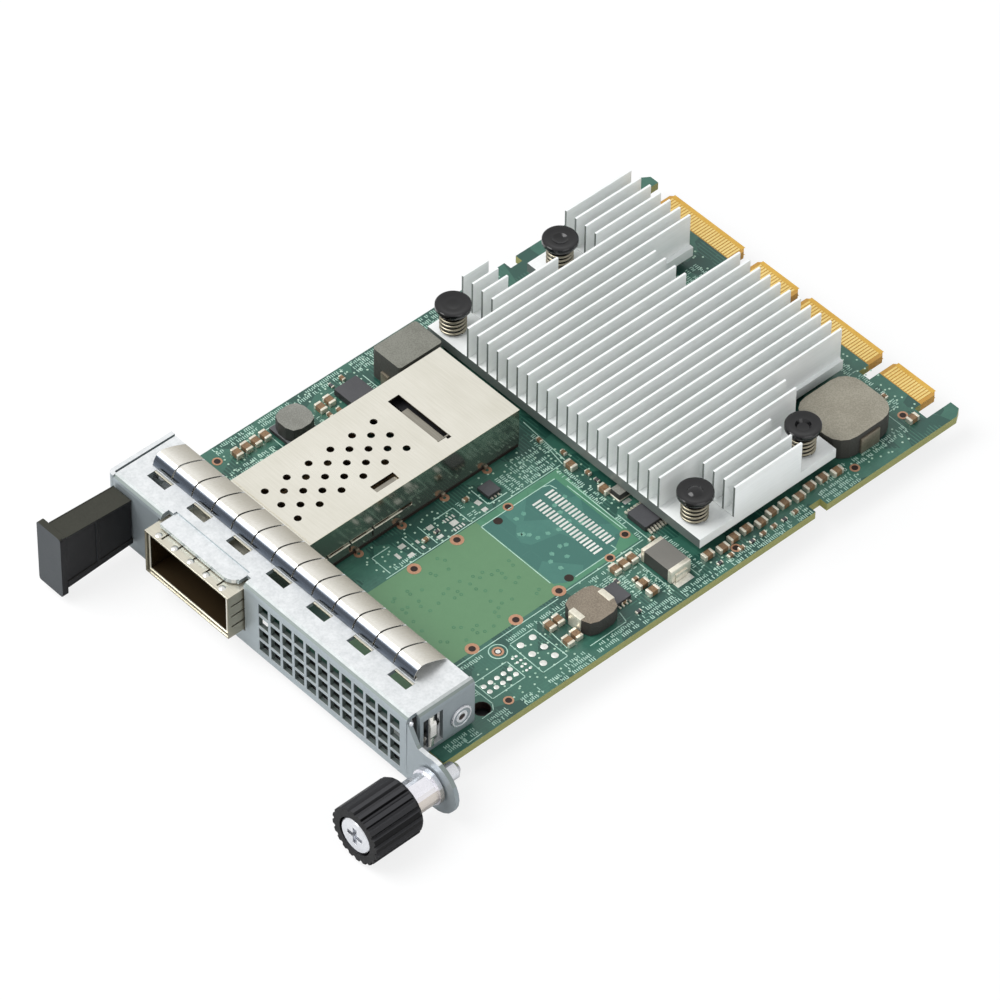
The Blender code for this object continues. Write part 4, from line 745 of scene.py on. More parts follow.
@dataclass
class CircuitBoard:
    """The board's mask, gold contacts, plated holes, pads, small parts and marking ink."""

    contact_counts: tuple[int, ...] = (28, 14, 28, 14)
    tongue_centres: tuple[float, ...] = (-22.29, -5.04, 10.82, 27.21)
    pitch: float = 0.6
    contact_width: float = 0.4
    contact_length: float = 3.0
    contact_set_back: float = 0.85
    contact_levels: tuple[float, float] = (0.005, 0.045)
    bevel: float = 0.84
    bevel_beyond: float = 0.9
    ink: tuple[float, float] = (0.024, 0.036)
    line: float = 0.16
    seed: int = 7
    open_places: tuple[Point, ...] = (
        (33.6, 16.5, 2.0), (-33.6, 16.5, 2.0), (35.1, 20.85, 1.0), (-35.1, 20.85, 1.0), (30.9, 8.2, 2.2),
        (35.2, 70.35, 1.0), (35.2, 97.15, 1.0), (31.9, 111.4, 1.0), (23.28, 53.75, 1.0), (26.3, 26.6, 2.4),
        (28.9, 91.0, 2.0), (28.1, 67.7, 2.0))

    def build(self) -> None:
        """Dress the board and add what is printed, plated, drilled and soldered on it."""
        dress(MASK, "circuit_board")
        for step in (self.contacts, self.areas, self.rings, self.vias, self.pads, self.outlines, self.marks,
                     self.capacitors, self.small_parts):
            step()

    def contacts(self) -> None:
        """Gold contacts on both sides of the tongues, with their bevelled lips."""
        rows, bevels = [], []
        for count, centre in zip(self.contact_counts, self.tongue_centres):
            x = centre + (np.arange(count) - (count - 1) / 2) * self.pitch
            rows.append(table(x, BOARD_REAR - self.contact_set_back - self.contact_length / 2,
                              self.contact_width, self.contact_length, 0.0))
            wide = (count - 1) * self.pitch + self.bevel_beyond
            bevels.append((centre, BOARD_REAR - self.bevel / 2, wide, self.bevel, 0.0))
        low, high = self.contact_levels
        sides = ((low, high), (-BOARD_THICK - high, -BOARD_THICK - low))
        piece("edge_contacts", join([plates(np.concatenate(rows), *side) for side in sides]), GOLD)
        piece("edge_bevels", join([plates(np.array(bevels), *side) for side in sides]), DEEP_GOLD)

    def areas(self) -> None:
        """The paler mask of the empty second port area and the darker one of its connector."""
        pale = [(3.0, 5.0), (23.5, 5.0), (23.5, 43.0), (3.0, 43.0)]
        middle = [(3.0, 43.0), (23.5, 43.0), (23.5, 60.0), (3.0, 61.0)]
        deep = [(4.5, 43.1), (21.4, 43.1), (22.6, 44.9), (22.5, 55.4), (20.4, 59.0), (4.5, 59.2)]
        piece("pale_mask_area", prism(pale, 0.002, 0.008), PALE_MASK)
        piece("middle_mask_area", prism(middle, 0.002, 0.007), MIDDLE_MASK)
        piece("deep_mask_area", prism(deep, 0.006, 0.013), DEEP_MASK)

    def rings(self) -> None:
        """Copper rings round press fit and tooling holes, and painted shade in the holes' mouths and walls.
        """
        big = [(3.93, 38.11), (4.07, 28.7), (23.12, 42.73), (23.15, 33.35), (23.13, 23.95)]
        small = [(4.0, 49.2), (21.1, 59.1), (23.28, 53.75), (35.2, 70.35), (35.2, 97.15), (35.1, 20.85),
                 (-35.1, 20.85), (31.9, 111.4)]
        bare = [(5.23, 45.87), (22.11, 45.85)]
        screws = [(33.6, 16.5), (-33.6, 16.5)]
        made = [copies(washer(0.62, 1.2), big), copies(washer(0.58, 0.9), small)]
        # discs of painted hole shade over the holes' mouths
        for places, mouth in ((big, 0.68), (small, 0.6), (bare, 0.8)):
            shade_disc = [(0.02, 0.02), (mouth, 0.02), (mouth, 0.0), (0.02, 0.0)]
            made.append(copies(spun(shade_disc, (0, 0, 0.012), sides=14, slot=1), places))
        # painted hole shade on the walls of the open holes
        top, bottom, thick = 0.035, -1.5, 0.09
        for places, bore in ((small[3:], 0.56), (screws, 1.54)):
            wall = [(bore, top), (bore - thick, top), (bore - thick, bottom), (bore, bottom)]
            made.append(copies(spun(wall, sides=14, hollow=True, slot=1), places))
        piece("copper_rings", join(made), COPPER, HOLE_SHADE)
        # a thin ring of painted hole shade between the solder and the copper
        made = [washer(bore, rim, sides=sides, slot=slot) for bore, rim, slot, sides in
                ((1.42, 1.6, 2, 28), (0.62, 1.0, 0, 24), (0.05, 0.42, 1, 16), (0.44, 0.6, 3, 16))]
        piece("ring_pad", copies(join(made), [(26.3, 26.6)]), COPPER, SOLDER, INK, HOLE_SHADE)

    def scatter(self, boxes: tuple[tuple[float, ...], ...], share: float, gap: float) -> np.ndarray:
        """Spread points over boxes: a grid of a given gap, thinned and shaken by a seeded draw.

        Args:
            boxes: Low x, low y, high x and high y of each box.
            share: Share of the grid's points that stay.
            gap: Spacing of the grid.

        Returns:
            One flat place for each row.
        """
        draw, shake = np.random.default_rng(self.seed), 0.42
        found = []
        for low_x, low_y, high_x, high_y in boxes:
            x, y = np.meshgrid(np.arange(low_x, high_x, gap), np.arange(low_y, high_y, gap))
            flat = table(x.ravel(), y.ravel())
            flat = flat + draw.uniform(-shake, shake, flat.shape) * gap
            found.append(flat[draw.random(len(flat)) < share])
        return self.clear(np.concatenate(found))

    def clear(self, rows: np.ndarray) -> np.ndarray:
        """Keep the rows whose x and y lie on the mask, away from holes and ringed pads."""
        centre = np.array(self.open_places)
        apart = np.hypot(rows[:, 0:1] - centre[:, 0], rows[:, 1:2] - centre[:, 1])
        return rows[np.all(apart > centre[:, 2], axis=1)]

    def vias(self) -> None:
        """Small via rings: tented ones in the pale area and bright ones over the rest."""
        groups = ((7.0, 21.0, 13.5, 27.5), (9.5, 28.5, 14.5, 33.0), (11.5, 33.5, 15.5, 38.0),
                  (16.0, 17.0, 21.0, 23.0), (17.5, 24.5, 21.5, 30.5), (16.5, 31.5, 21.5, 36.5),
                  (5.0, 15.0, 9.0, 20.0), (12.0, 16.5, 15.5, 21.0), (19.0, 37.0, 22.0, 41.5),
                  (5.0, 30.0, 8.5, 36.0), (13.0, 38.5, 17.5, 42.0))
        tented = washer(0.16, 0.33, 0.022, 0.008, 8)
        piece("tented_vias", copies(tented, self.scatter(groups, 0.42, 1.3)), TENTED)
        groups = ((24.5, 14.0, 29.5, 19.0), (-3.6, 24.0, 2.2, 62.0), (24.2, 44.0, 27.0, 62.0),
                  (28.0, 50.5, 36.0, 56.5), (27.5, 20.0, 37.3, 35.0), (33.0, 96.5, 36.8, 109.0),
                  (35.2, 65.0, 37.5, 85.0), (-36.8, 14.0, -25.0, 30.0), (-36.8, 38.0, -27.5, 51.5),
                  (-37.0, 52.0, -34.0, 64.0), (-2.0, 61.0, 18.0, 64.5), (13.0, 111.0, 33.0, 115.5),
                  (-36.5, 97.0, -33.5, 115.0), (-20.0, 111.0, 12.0, 112.6))
        bright = washer(0.02, 0.2, 0.02, 0.006, 6)
        piece("bright_vias", copies(bright, self.scatter(groups, 0.5, 1.15)), VIA)
        cloud = prism([(-0.5, -0.2), (0.1, -0.45), (0.5, -0.1), (0.35, 0.35), (-0.2, 0.4)], 0.014, 0.019)
        spots = self.scatter(((7.0, 46.0, 20.5, 52.0), (9.0, 47.0, 18.0, 58.0)), 0.22, 1.5)
        piece("copper_patches", copies(cloud, spots, np.arange(len(spots)) * 1.7), PATCH)

    def pads(self) -> None:
        """Tinned pads of the empty connector, headers and footprints."""
        rear = table(6.13 + 0.8 * np.arange(19), 56.35, 0.42, 1.85, 0.0)
        front = rear + np.array((0.35, -3.05, 0, 0, 0))
        eight = [(0.8 + side * 1.25, 39.35 + 0.62 * n, 0.7, 0.3, 0.0) for side in (-1, 1) for n in range(4)]
        square = [(0.8, 40.3, 1.1, 1.3, 0.0), (0.1, 46.2, 1.1, 0.9, 8.0), (1.9, 46.0, 0.8, 1.0, 0.0),
                  (-1.0, 36.7, 0.9, 1.2, 0.0), (1.6, 36.6, 0.7, 1.1, 0.0), (0.0, 33.1, 0.8, 0.5, 0.0),
                  (1.5, 33.0, 0.7, 0.5, 0.0), (-0.9, 30.5, 0.9, 1.2, 0.0), (1.5, 30.4, 0.8, 1.1, 0.0),
                  (0.3, 28.6, 1.3, 0.6, 0.0), (15.9, 64.4, 0.8, 1.5, 0.0)]
        feet = [(26.45, 59.15, 1.2, 3.4, 0.0), (34.75, 59.15, 1.3, 3.6, 0.0)]
        piece("tinned_pads", join([plates(rear, 0.015, 0.06), plates(front, 0.015, 0.06),
                                   plates(np.array(eight + square + feet), 0.012, 0.05)]), SOLDER)
        six = [(27.7, 32.8), (27.7, 30.2), (30.4, 32.8), (30.3, 30.3), (32.9, 32.8), (32.9, 30.3)]
        ten = [(x, 25.5 - 1.4 * n) for x in (30.35, 31.75) for n in range(5)]
        low = [(28.95 + 1.1 * n, y) for y in (27.35, 28.1) for n in range(4)]
        made = []
        for places, bore, crown, rim, high, sides in (
                (six, 0.03, 0.5, 0.62, 0.05, 14), (ten, 0.02, 0.36, 0.46, 0.05, 12),
                (low, 0.02, 0.2, 0.26, 0.04, 8)):
            domed = [(bore, 0.0), (bore, high), (crown, high - 0.01), (rim, 0.0)]
            made.append(copies(spun(domed, (0, 0, 0.012), sides=sides, hollow=True), places))
        piece("round_pads", join(made), SOLDER)

    def outlines(self) -> None:
        """Thin printed outlines round parts, footprints and the second port."""
        chains = (
            [(2.75, 24.0), (2.75, 61.8)], [(2.75, 62.3), (-0.7, 62.9)], [(-8.4, 64.0), (2.3, 63.2)],
            [(7.0, 59.5), (19.8, 59.7)], [(5.7, 60.4), (20.2, 60.2)],
            [(4.4, 59.0), (4.4, 42.95), (20.9, 42.85)], [(4.5, 56.5), (4.9, 57.5), (6.2, 57.8)],
            [(22.6, 46.9), (22.55, 55.9), (21.4, 55.8)], [(23.9, 41.4), (23.9, 60.4)],
            [(24.3, 12.5), (24.3, 41.4)], [(26.05, 35.9), (33.0, 35.3)],
            [(26.4, 34.1), (26.4, 29.0), (34.4, 28.9), (34.4, 34.2), (26.4, 34.1)],
            [(28.8, 26.2), (28.8, 19.2), (33.2, 19.2), (33.2, 26.2), (28.8, 26.2)],
            [(29.9, 18.4), (33.9, 18.5), (35.1, 17.6), (35.2, 15.2)],
            [(35.9, 10.1), (37.5, 10.0), (37.4, 13.0)], [(26.3, 38.4), (26.4, 46.6), (29.4, 47.0)],
            [(35.2, 38.4), (35.2, 46.2), (33.1, 46.7)], [(25.6, 61.8), (35.6, 61.8)],
            [(25.9, 56.4), (35.4, 56.4)], [(-2.6, 47.2), (1.5, 47.2), (1.5, 51.2)],
            [(-1.8, 38.3), (-1.8, 42.4), (2.2, 42.4)], [(-2.4, 35.3), (2.3, 35.3)],
            [(-2.2, 31.8), (2.3, 31.8)], [(-2.2, 28.9), (-2.2, 25.2), (2.2, 25.2)],
            [(-35.2, 31.0), (-35.2, 38.2), (-28.0, 38.2), (-28.0, 31.0), (-35.2, 31.0)],
            [(-34.4, 44.2), (-34.4, 50.4), (-28.4, 50.4)], [(-34.0, 51.6), (-25.4, 51.6), (-25.4, 63.4)],
            [(19.9, 94.8), (19.9, 109.6), (34.6, 109.6)], [(17.2, 61.2), (24.4, 61.2)])
        rows = [((a[0] + b[0]) / 2, (a[1] + b[1]) / 2, math.dist(a, b) + self.line, self.line,
                 math.degrees(math.atan2(b[1] - a[1], b[0] - a[0])))
                for chain in chains for a, b in zip(chain[:-1], chain[1:])]
        piece("ink_outlines", plates(np.array(rows), *self.ink), INK)

    def marks(self) -> None:
        """Printed part marks, kept to plain strokes and dashes that spell nothing."""
        along_y = (
            (35.4, 6.5, 37.6, 13.4), (35.8, 15.5, 37.2, 19.4), (36.0, 22.3, 37.6, 26.4),
            (36.2, 28.2, 37.7, 31.4), (35.2, 32.4, 37.6, 37.2), (35.6, 38.4, 37.6, 47.0),
            (34.9, 48.0, 37.6, 56.0), (36.0, 57.0, 37.6, 66.0), (36.2, 67.0, 37.7, 81.0),
            (35.2, 82.0, 37.6, 85.2), (35.2, 88.5, 37.6, 96.0), (33.0, 90.5, 35.0, 96.3),
            (33.4, 98.0, 35.6, 109.5), (24.9, 15.0, 26.0, 24.0), (25.2, 28.8, 26.2, 46.8),
            (24.6, 47.5, 25.6, 58.5), (-37.7, 6.0, -36.0, 19.5), (-37.7, 21.8, -36.0, 30.4),
            (-37.7, 31.5, -35.6, 38.5), (-37.7, 39.5, -35.6, 50.0), (-37.7, 51.5, -34.6, 64.0),
            (-37.7, 65.0, -34.0, 84.0), (-37.7, 96.5, -33.8, 109.0), (1.4, 26.4, 2.4, 31.0),
            (-3.4, 55.0, 2.3, 61.4), (-31.8, 14.5, -30.2, 30.0), (-28.9, 14.5, -25.0, 28.5),
            (-27.6, 29.5, -25.0, 50.5))
        along_x = (
            (-5.4, 61.7, -0.6, 63.6), (3.6, 60.2, 8.6, 61.9), (9.6, 60.4, 13.4, 62.0),
            (17.4, 60.3, 19.6, 61.4), (21.9, 60.1, 23.6, 61.4), (27.4, 48.0, 28.0, 56.0),
            (27.2, 50.8, 32.2, 52.3), (28.6, 54.8, 34.6, 56.4), (26.0, 47.4, 27.8, 51.4),
            (27.0, 36.9, 27.4, 41.4), (-2.0, 51.6, 2.2, 54.6), (0.8, 43.0, 2.3, 44.6),
            (-2.2, 43.2, -0.6, 44.5), (26.0, 14.5, 31.2, 18.2), (25.2, 62.2, 35.0, 64.0),
            (10.5, 111.0, 19.5, 113.2), (20.5, 110.2, 30.0, 113.0), (-12.0, 110.8, -5.0, 112.6),
            (-16.5, 101.0, -7.5, 110.4), (-33.4, 39.2, -28.0, 40.2), (-32.0, 50.6, -26.0, 51.4))
        # strokes stand side by side in lines, some are left out, and some carry a short crossing dash
        letter, gap, left_out, no_dash = 0.4, 0.98, 0.2, 0.55
        heights, levels, dash, ahead = (0.74, 0.74, 0.5), (-0.32, 0.0, 0.32), (0.3, 0.13), 0.14
        draw = np.random.default_rng(self.seed)
        rows = []
        for boxes, turned in ((along_y, True), (along_x, False)):
            for low_x, low_y, high_x, high_y in boxes:
                run, wide = (high_y - low_y, high_x - low_x) if turned else (high_x - low_x, high_y - low_y)
                u, v = np.meshgrid(np.arange(0.15, run, letter), np.arange(0.4, wide, gap), indexing="ij")
                u, v = u.ravel(), v.ravel()
                keep = draw.random(len(u)) > left_out
                u, v = u[keep], v[keep]
                v = v + draw.uniform(-0.08, 0.08, len(v))
                tall = draw.choice(heights, len(u))
                crossed = draw.random(len(u)) > no_dash
                level = draw.choice(levels, int(crossed.sum()))
                made = np.concatenate((table(u, v, self.line, tall),
                                       table(u[crossed] + ahead, v[crossed] + level, *dash)))
                made = made[:, [1, 0, 3, 2]] if turned else made
                made[:, :2] += (low_x, low_y)
                rows.append(table(*made.T, draw.uniform(-2, 2, len(made))))
        piece("ink_marks", plates(self.clear(np.concatenate(rows)), *self.ink), INK)

    def capacitors(self) -> None:
        """Tan chip capacitors with tinned ends, over the solids that stand for them."""
        lengthwise = [(33.6 + (0.5 if k % 3 == 1 else 0.0), 65.6 + 2.85 * k) for k in range(11)]
        lengthwise += [(31.2, 53.5), (33.4, 53.6), (33.8, 111.7)]
        across = [(-34.0, y) for y in (24.2, 26.2, 28.2, 30.2)] + [(26.0, y) for y in (52.3, 54.15, 56.0)]
        across += [(-32.7, 41.2), (-33.0, 43.3), (28.0, 36.2), (28.0, 38.0), (32.4, 36.1), (32.2, 38.0),
                   (4.2, 62.8), (11.8, 63.2)]
        turns = np.repeat((math.pi / 2, 0.0), (len(lengthwise), len(across)))
        part = chip_part(2.08, 1.32, 1.0, 0.5)
        piece("chip_capacitors", copies(part, lengthwise + across, turns), CERAMIC, TIN)

    def small_parts(self) -> None:
        """Smaller resistors and capacitors, each on its own pads, and a small choke."""
        lengthwise = [(36.0, 66.0 + 2.4 * k) for k in range(8)]
        lengthwise += [(31.9, 48.6), (35.0, 49.0), (29.6, 53.4), (-1.6, 45.0), (0.5, 36.8), (0.7, 34.2),
                       (24.9, 61.4), (-26.4, 40.0), (-26.4, 44.0)]
        across = [(7.2, 63.9), (9.3, 63.9), (1.2, 64.0), (-3.5, 63.0), (27.9, 50.9), (-30.6, 41.3),
                  (-30.4, 43.2), (-35.6, 46.0), (-35.6, 48.4), (29.0, 57.9), (15.0, 112.6), (27.0, 112.0)]
        places = np.array(lengthwise + across)
        turns = np.repeat((math.pi / 2, 0.0), (len(lengthwise), len(across)))
        odd = np.arange(len(places)) % 3 == 0
        for name, which, sizes, body in (("small_resistors", odd, (1.1, 0.6, 0.42, 0.24), EPOXY),
                                         ("small_capacitors", ~odd, (1.2, 0.68, 0.62, 0.28), CERAMIC)):
            piece(name, copies(chip_part(*sizes), places[which], turns[which]), body, TIN)
        piece("small_choke", join([round_box((12.9, 63.3, 0.02), (15.3, 66.2, 0.3), 0.05, 1, 1),
                                   round_box((13.0, 63.4, 0.2), (15.2, 66.1, 1.5), 0.15)]), FERRITE, TIN)


# ---------------------------------------------------------------------------------- soldered parts

@dataclass
class SolderedParts:
    """Straps, pads and feet of the inductors, chokes and chips, over the solids that carry them."""

    proud: float = 0.03
    foot: float = 0.1

    def build(self) -> None:
        """Dress the soldered solids and add their terminals."""
        dress(POWDER, "power_inductor_large")
        dress(DARK_POWDER, "power_inductor_tall")
        dress(FERRITE, "choke_left")
        dress(BROWN_FERRITE, "choke_right")
        dress(RESIN, "tantalum_capacitor")
        dress(EPOXY, "regulator_soic", "chip_left", "chip_right", "chip_small", "network_chip")
        dress(PAD, "thermal_pad")
        self.straps()
        self.legs()

    def covers(self, boxes: tuple[tuple[float, ...], ...]) -> Surface:
        """Cover metal ends with straps that stand a little proud of their solids.

        Args:
            boxes: Low x, low y, high x, high y and top of each end.

        Returns:
            All the straps.
        """
        p = self.proud
        return join([round_box((x0 - p, y0 - p, self.foot), (x1 + p, y1 + p, top + p), 0.05)
                     for x0, y0, x1, y1, top in boxes])

    def straps(self) -> None:
        """Straps of the inductors and the ends of the tantalum capacitor."""
        piece("inductor_straps", self.covers((
            (20.85, 100.05, 21.25, 104.25, 3.34), (33.25, 100.05, 33.65, 104.25, 3.34),
            (-30.45, 52.35, -28.65, 52.75, 2.97), (-30.45, 62.15, -28.65, 62.55, 2.97))), STRAP)
        piece("bright_terminals", self.covers((
            (29.45, 38.9, 32.15, 40.0, 3.18), (29.45, 45.2, 32.15, 46.3, 3.18),
            (26.8, 57.95, 27.5, 60.35, 1.6), (33.6, 57.95, 34.3, 60.35, 1.6),
            (27.05, 57.02, 27.75, 61.28, 2.79), (33.3, 57.02, 34.05, 61.28, 2.79))), TIN)

    def legs(self) -> None:
        """Gull wing legs of the regulator, the chips' flat feet and the left choke's dark foot."""
        profile = [(-0.2, 0.34), (0.35, 0.34), (0.55, 0.2), (0.65, 0.12), (1.0, 0.12), (1.0, 0.43),
                   (0.62, 0.43), (0.45, 0.62), (-0.2, 0.62)]
        leg = prism(profile, -0.17, 0.17, axis=Axis.Y)
        k = np.arange(7) - 3
        places = np.concatenate([table(20.8 + side * 2.23, 64.3 + 0.65 * k) for side in (-1, 1)])
        piece("regulator_legs", copies(leg, places, np.repeat((math.pi, 0.0), len(k))), TIN)
        feet = [table(x + side * reach, y + pitch * (np.arange(count) - (count - 1) / 2), long, wide, 0.0)
                for x, reach, y, pitch, count, long, wide in (
                    (30.1, 2.2, 48.5, 0.75, 4, 0.7, 0.3), (-31.4, 2.45, 47.4, 0.8, 5, 0.6, 0.35),
                    (-0.6, 1.5, 49.2, 0.7, 3, 0.5, 0.3)) for side in (-1, 1)]
        piece("chip_feet", plates(np.concatenate(feet), 0.03, 0.26), TIN)
        piece("choke_foot", round_box((-34.64, 31.56, 0.12), (-28.56, 37.64, 0.94), 0.15), EPOXY)


# ---------------------------------------------------------------------------------- cage and gasket

@dataclass
class Cage:
    """The port's cage with its seams, flaps and press fit feet, and the collar's contact bumps."""

    left: float = -24.1
    right: float = -4.9
    top: float = 8.6
    rear: float = 59.7
    collar_front: float = -3.3
    collar_top: float = 9.1
    bump_count: int = 5
    foot_places: tuple[float, ...] = (15.0, 24.3, 33.6, 42.9, 52.2)

    def build(self) -> None:
        """Dress the cage, the collar and the receptacle, and add the folded details."""
        dress(NICKEL, "qsfp_cage")
        dress(BRONZE, "cage_spring_collar")
        dress(POLYMER, "qsfp_receptacle")
        self.flaps()
        self.seams()
        self.feet()
        self.bumps()

    def flaps(self) -> None:
        """Tongues bent down into the slot and the window of the cage's roof."""
        slot = [(-17.6, 45.12), (-8.5, 45.12), (-8.5, 46.75), (-17.6, 46.75)]
        window = [(-7.5, 30.2), (-6.5, 30.2), (-6.5, 34.9), (-7.5, 34.9)]
        side = [(-8.5, 44.9), (-8.25, 44.9), (-8.25, 47.3), (-8.5, 47.3)]
        piece("cage_flaps", join([prism(slot, 7.9, 8.12, 0.05), prism(window, 8.02, 8.22, 0.05),
                                  prism(side, 8.3, 8.66)]), FLAP)

    def seams(self) -> None:
        """The bright lip of the side wall's seam, the roof's shallow fold, and painted shade in its slits."""
        x, top = self.right + 0.02, self.top
        made = [round_box((x, low, 2.95), (x + 0.3, high, 3.15), 0.05, 1)
                for low, high in ((10.5, 17.9), (18.2, 22.8), (23.1, 27.7), (28.0, 34.0))]
        fold = round_box((self.left + 0.3, 14.6, top - 0.02), (self.right - 0.3, 14.85, top + 0.05), 0.03, 1)
        edge = round_box((x - 0.12, 4.5, top - 0.1), (x + 0.04, self.rear, top + 0.03), 0.05, 1)
        made += [fold, edge]
        piece("cage_seams", join(made), TIN)
        # dark bars of painted shade stand for the slits and the gap along the wall's foot
        made = [round_box((x - 0.01, y - 0.07, 1.3), (x + 0.1, y + 0.07, 3.5), 0.03, 1)
                for y in (18.05, 22.95, 27.85)]
        made.append(round_box((x - 0.01, 5.0, 0.12), (x + 0.05, self.rear - 0.2, 0.75), 0.02, 1))
        piece("cage_slit_shade", join(made), HOLE_SHADE)

    def feet(self) -> None:
        """Press fit feet along the foot of the right wall, each in its own ringed hole."""
        pin = round_box((-0.3, -0.35, 0.02), (0.15, 0.35, 0.9), 0.08, 1, 1)
        places = table(self.right + 0.55, self.foot_places)
        piece("press_fit_feet", join([copies(washer(0.3, 0.85, sides=12), places),
                                      copies(pin, places - (0.25, 0.0))]), COPPER, STRAP)

    def bumps(self) -> None:
        """Contact bumps pressed up along the collar's front edge, and the edge's bright rim."""
        front, top = self.collar_front, self.collar_top
        inset_x = 1.9
        x = np.linspace(self.left + inset_x, self.right - inset_x, self.bump_count)
        dome = spun([(0.02, 0.2), (0.3, 0.17), (0.52, 0.08), (0.62, 0.0), (0.3, -0.05)], sides=14)
        piece("collar_bumps", copies(dome, table(x, front + 1.0, top)), SPRING)
        piece("collar_rim", round_box((self.left - 0.52, front - 0.02, top - 0.16),
                                      (self.right + 0.52, front + 0.3, top + 0.04), 0.07), BRONZE)


@dataclass
class FingerStrip:
    """The row of arched spring fingers over the faceplate's flange."""

    left: float = -33.6
    right: float = 29.3
    count: int = 13
    slit: float = 0.32
    sheet: float = 0.1
    front: float = 6.1
    rear: float = 13.0
    base: float = 10.62
    crest: float = 12.84
    crest_y: float = 8.0
    fall_share: float = 0.93
    fall_power: float = 1.35

    def build(self) -> None:
        """Build the fingers, their rail and the lips that clip into the flange's windows."""
        pitch = (self.right - self.left) / self.count
        half = (pitch - self.slit) / 2
        front, base = self.front, self.base
        finger = prism(self.section(), -half, half, axis=Axis.X)
        k = np.arange(self.count)
        rail = prism([(front, base - 0.02), (front + 0.5, base - 0.02), (front + 0.62, base + 0.5),
                      (front + 0.5, base + 0.5)], self.left, self.right, axis=Axis.X)
        fingers = copies(finger, table(self.left + pitch * (k + 0.5), 0.0))
        piece("gasket_fingers", join([fingers, rail]), FINGER, smooth=50.0, replaces=("emi_gasket_top",))
        relief = spun([(0.02, 0.05), (0.16, 0.04), (0.2, -0.04), (0.02, -0.05)], sides=8)
        spots = table(self.left + pitch * k[1:], front + 0.42, base + 0.62)
        piece("slit_reliefs", copies(relief, spots), SPRING)
        clips = [round_box((-32.43 + 9.625 * n, 5.5, 10.16), (-28.08 + 9.625 * n, 5.88, 10.5), 0.06, 1)
                 for n in range(7)]
        piece("gasket_clips", join(clips), BRONZE)

    def section(self) -> np.ndarray:
        """A finger's section across the strip.

        The front wall is a quarter of an oval up to the crest, and behind it the level falls by the
        share to ``fall_power``. The inner line is the outer one, less the sheet.

        Returns:
            Points of the closed outline, as Y and Z.
        """
        a = np.linspace(0, np.pi / 2, 12)
        s = np.linspace(0, 1, 20)[1:]
        high = self.crest - self.base
        outer = np.concatenate((
            table(self.crest_y - (self.crest_y - self.front) * np.cos(a), self.base + high * np.sin(a)),
            table(self.crest_y + (self.rear - self.crest_y) * s,
                  self.crest - self.fall_share * high * s ** self.fall_power)))
        along = np.gradient(outer, axis=0)
        along /= np.linalg.norm(along, axis=1, keepdims=True)
        inner = outer + table(along[:, 1], -along[:, 0]) * self.sheet
        return np.concatenate((outer, inner[::-1]))


@dataclass
class Front:
    """The faceplate, its side gaskets and fasteners, the pull tab and the thumbscrew."""

    nut_faces: tuple[tuple[int, float], ...] = ((1, 35.57), (-1, -37.77))
    nut_y: float = 10.4
    nut_z: float = 4.4

    def build(self) -> None:
        """Dress the front's solids and add its small trim."""
        dress(ZINC, "faceplate")
        dress(SPRING, "emi_gasket_left", "emi_gasket_right")
        dress(TAB, "pull_tab")
        dress(KNOB, "thumbscrew_knob")
        dress(BARREL, "thumbscrew_ferrule")
        dress(STEEL, "thumbscrew_screw", "flange_nut_left", "flange_nut_right", "foot_screw_left",
              "foot_screw_right", "pull_tab_screw_1", "pull_tab_screw_2")
        dress(FILM, "bottom_insulator")
        self.nuts()
        self.dark_sheet_under_vents()
        self.window_spring()
        self.tab_frame()

    def nuts(self) -> None:
        """Each pressed nut's flared end: a bright ring, a seat in shade, a rim and a painted shade hole."""
        made = []
        for side, x in self.nut_faces:
            for profile, sides, hollow, slot in (
                    ([(1.72, 0.0), (1.74, 0.13), (2.0, 0.13), (2.08, 0.0)], 36, True, 0),
                    ([(1.2, 0.0), (1.2, 0.05), (1.73, 0.05), (1.73, 0.0)], 36, True, 2),
                    ([(0.62, 0.0), (0.64, 0.1), (1.14, 0.12), (1.21, 0.0)], 36, True, 0),
                    ([(0.02, 0.02), (0.6, 0.02), (0.6, -0.2), (0.02, -0.2)], 20, False, 1)):
                made.append(spun([(radius, level * side) for radius, level in profile],
                                 (x, self.nut_y, self.nut_z), Axis.X, sides, hollow, slot))
        piece("nut_faces", join(made), STEEL, HOLE_SHADE, ZINC)

    def dark_sheet_under_vents(self) -> None:
        """A dark sheet of painted shade under the board's front, which closes the gap behind the vents."""
        made = [round_box((-3.5, front, low), (34.4, rear, high), 0.05, 1) for front, rear, low, high in
                ((1.0, 5.1, -2.08, -1.9), (4.4, 4.55, -3.2, -2.0), (1.0, 4.55, -3.3, -3.16))]
        piece("painted_shade_lip", join(made), FILM)

    def window_spring(self) -> None:
        """The bowed spring that shows in the right flange's window, before a dark sheet of painted shade."""
        steps = np.linspace(0, np.pi, 13)
        bow = table(34.86 + 0.62 * np.sin(steps), 4.35 - 0.72 * np.cos(steps))
        # the dark backing is painted shade behind the window
        backing = round_box((33.2, 2.1, 0.3), (33.35, 7.3, 9.4), 0.03, 1, 1)
        piece("window_spring", join([prism(bow, 1.86, 8.64), backing]), FINGER, FILM)
        piece("corner_bead", round_box((34.75, -0.05, 9.35), (35.4, 0.6, 10.2), 0.28, 3), STEEL)

    def tab_frame(self) -> None:
        """The low moulded frame and the rib on both walls of the pull tab."""
        bars = [[(-13.7, -2.2), (-0.25, -1.36), (-0.25, -0.3), (-13.7, -0.85)],
                [(-13.7, 9.05), (-0.25, 8.25), (-0.25, 8.55), (-13.7, 9.4)],
                [(-7.7, -0.58), (-7.1, -0.56), (-7.1, 8.64), (-7.7, 8.67)]]
        made = [prism(bar, low, low + 0.14, axis=Axis.X) for low in (-31.52, -35.82) for bar in bars]
        piece("tab_frame", join(made), TAB)


# ---------------------------------------------------------------------------------- heatsink

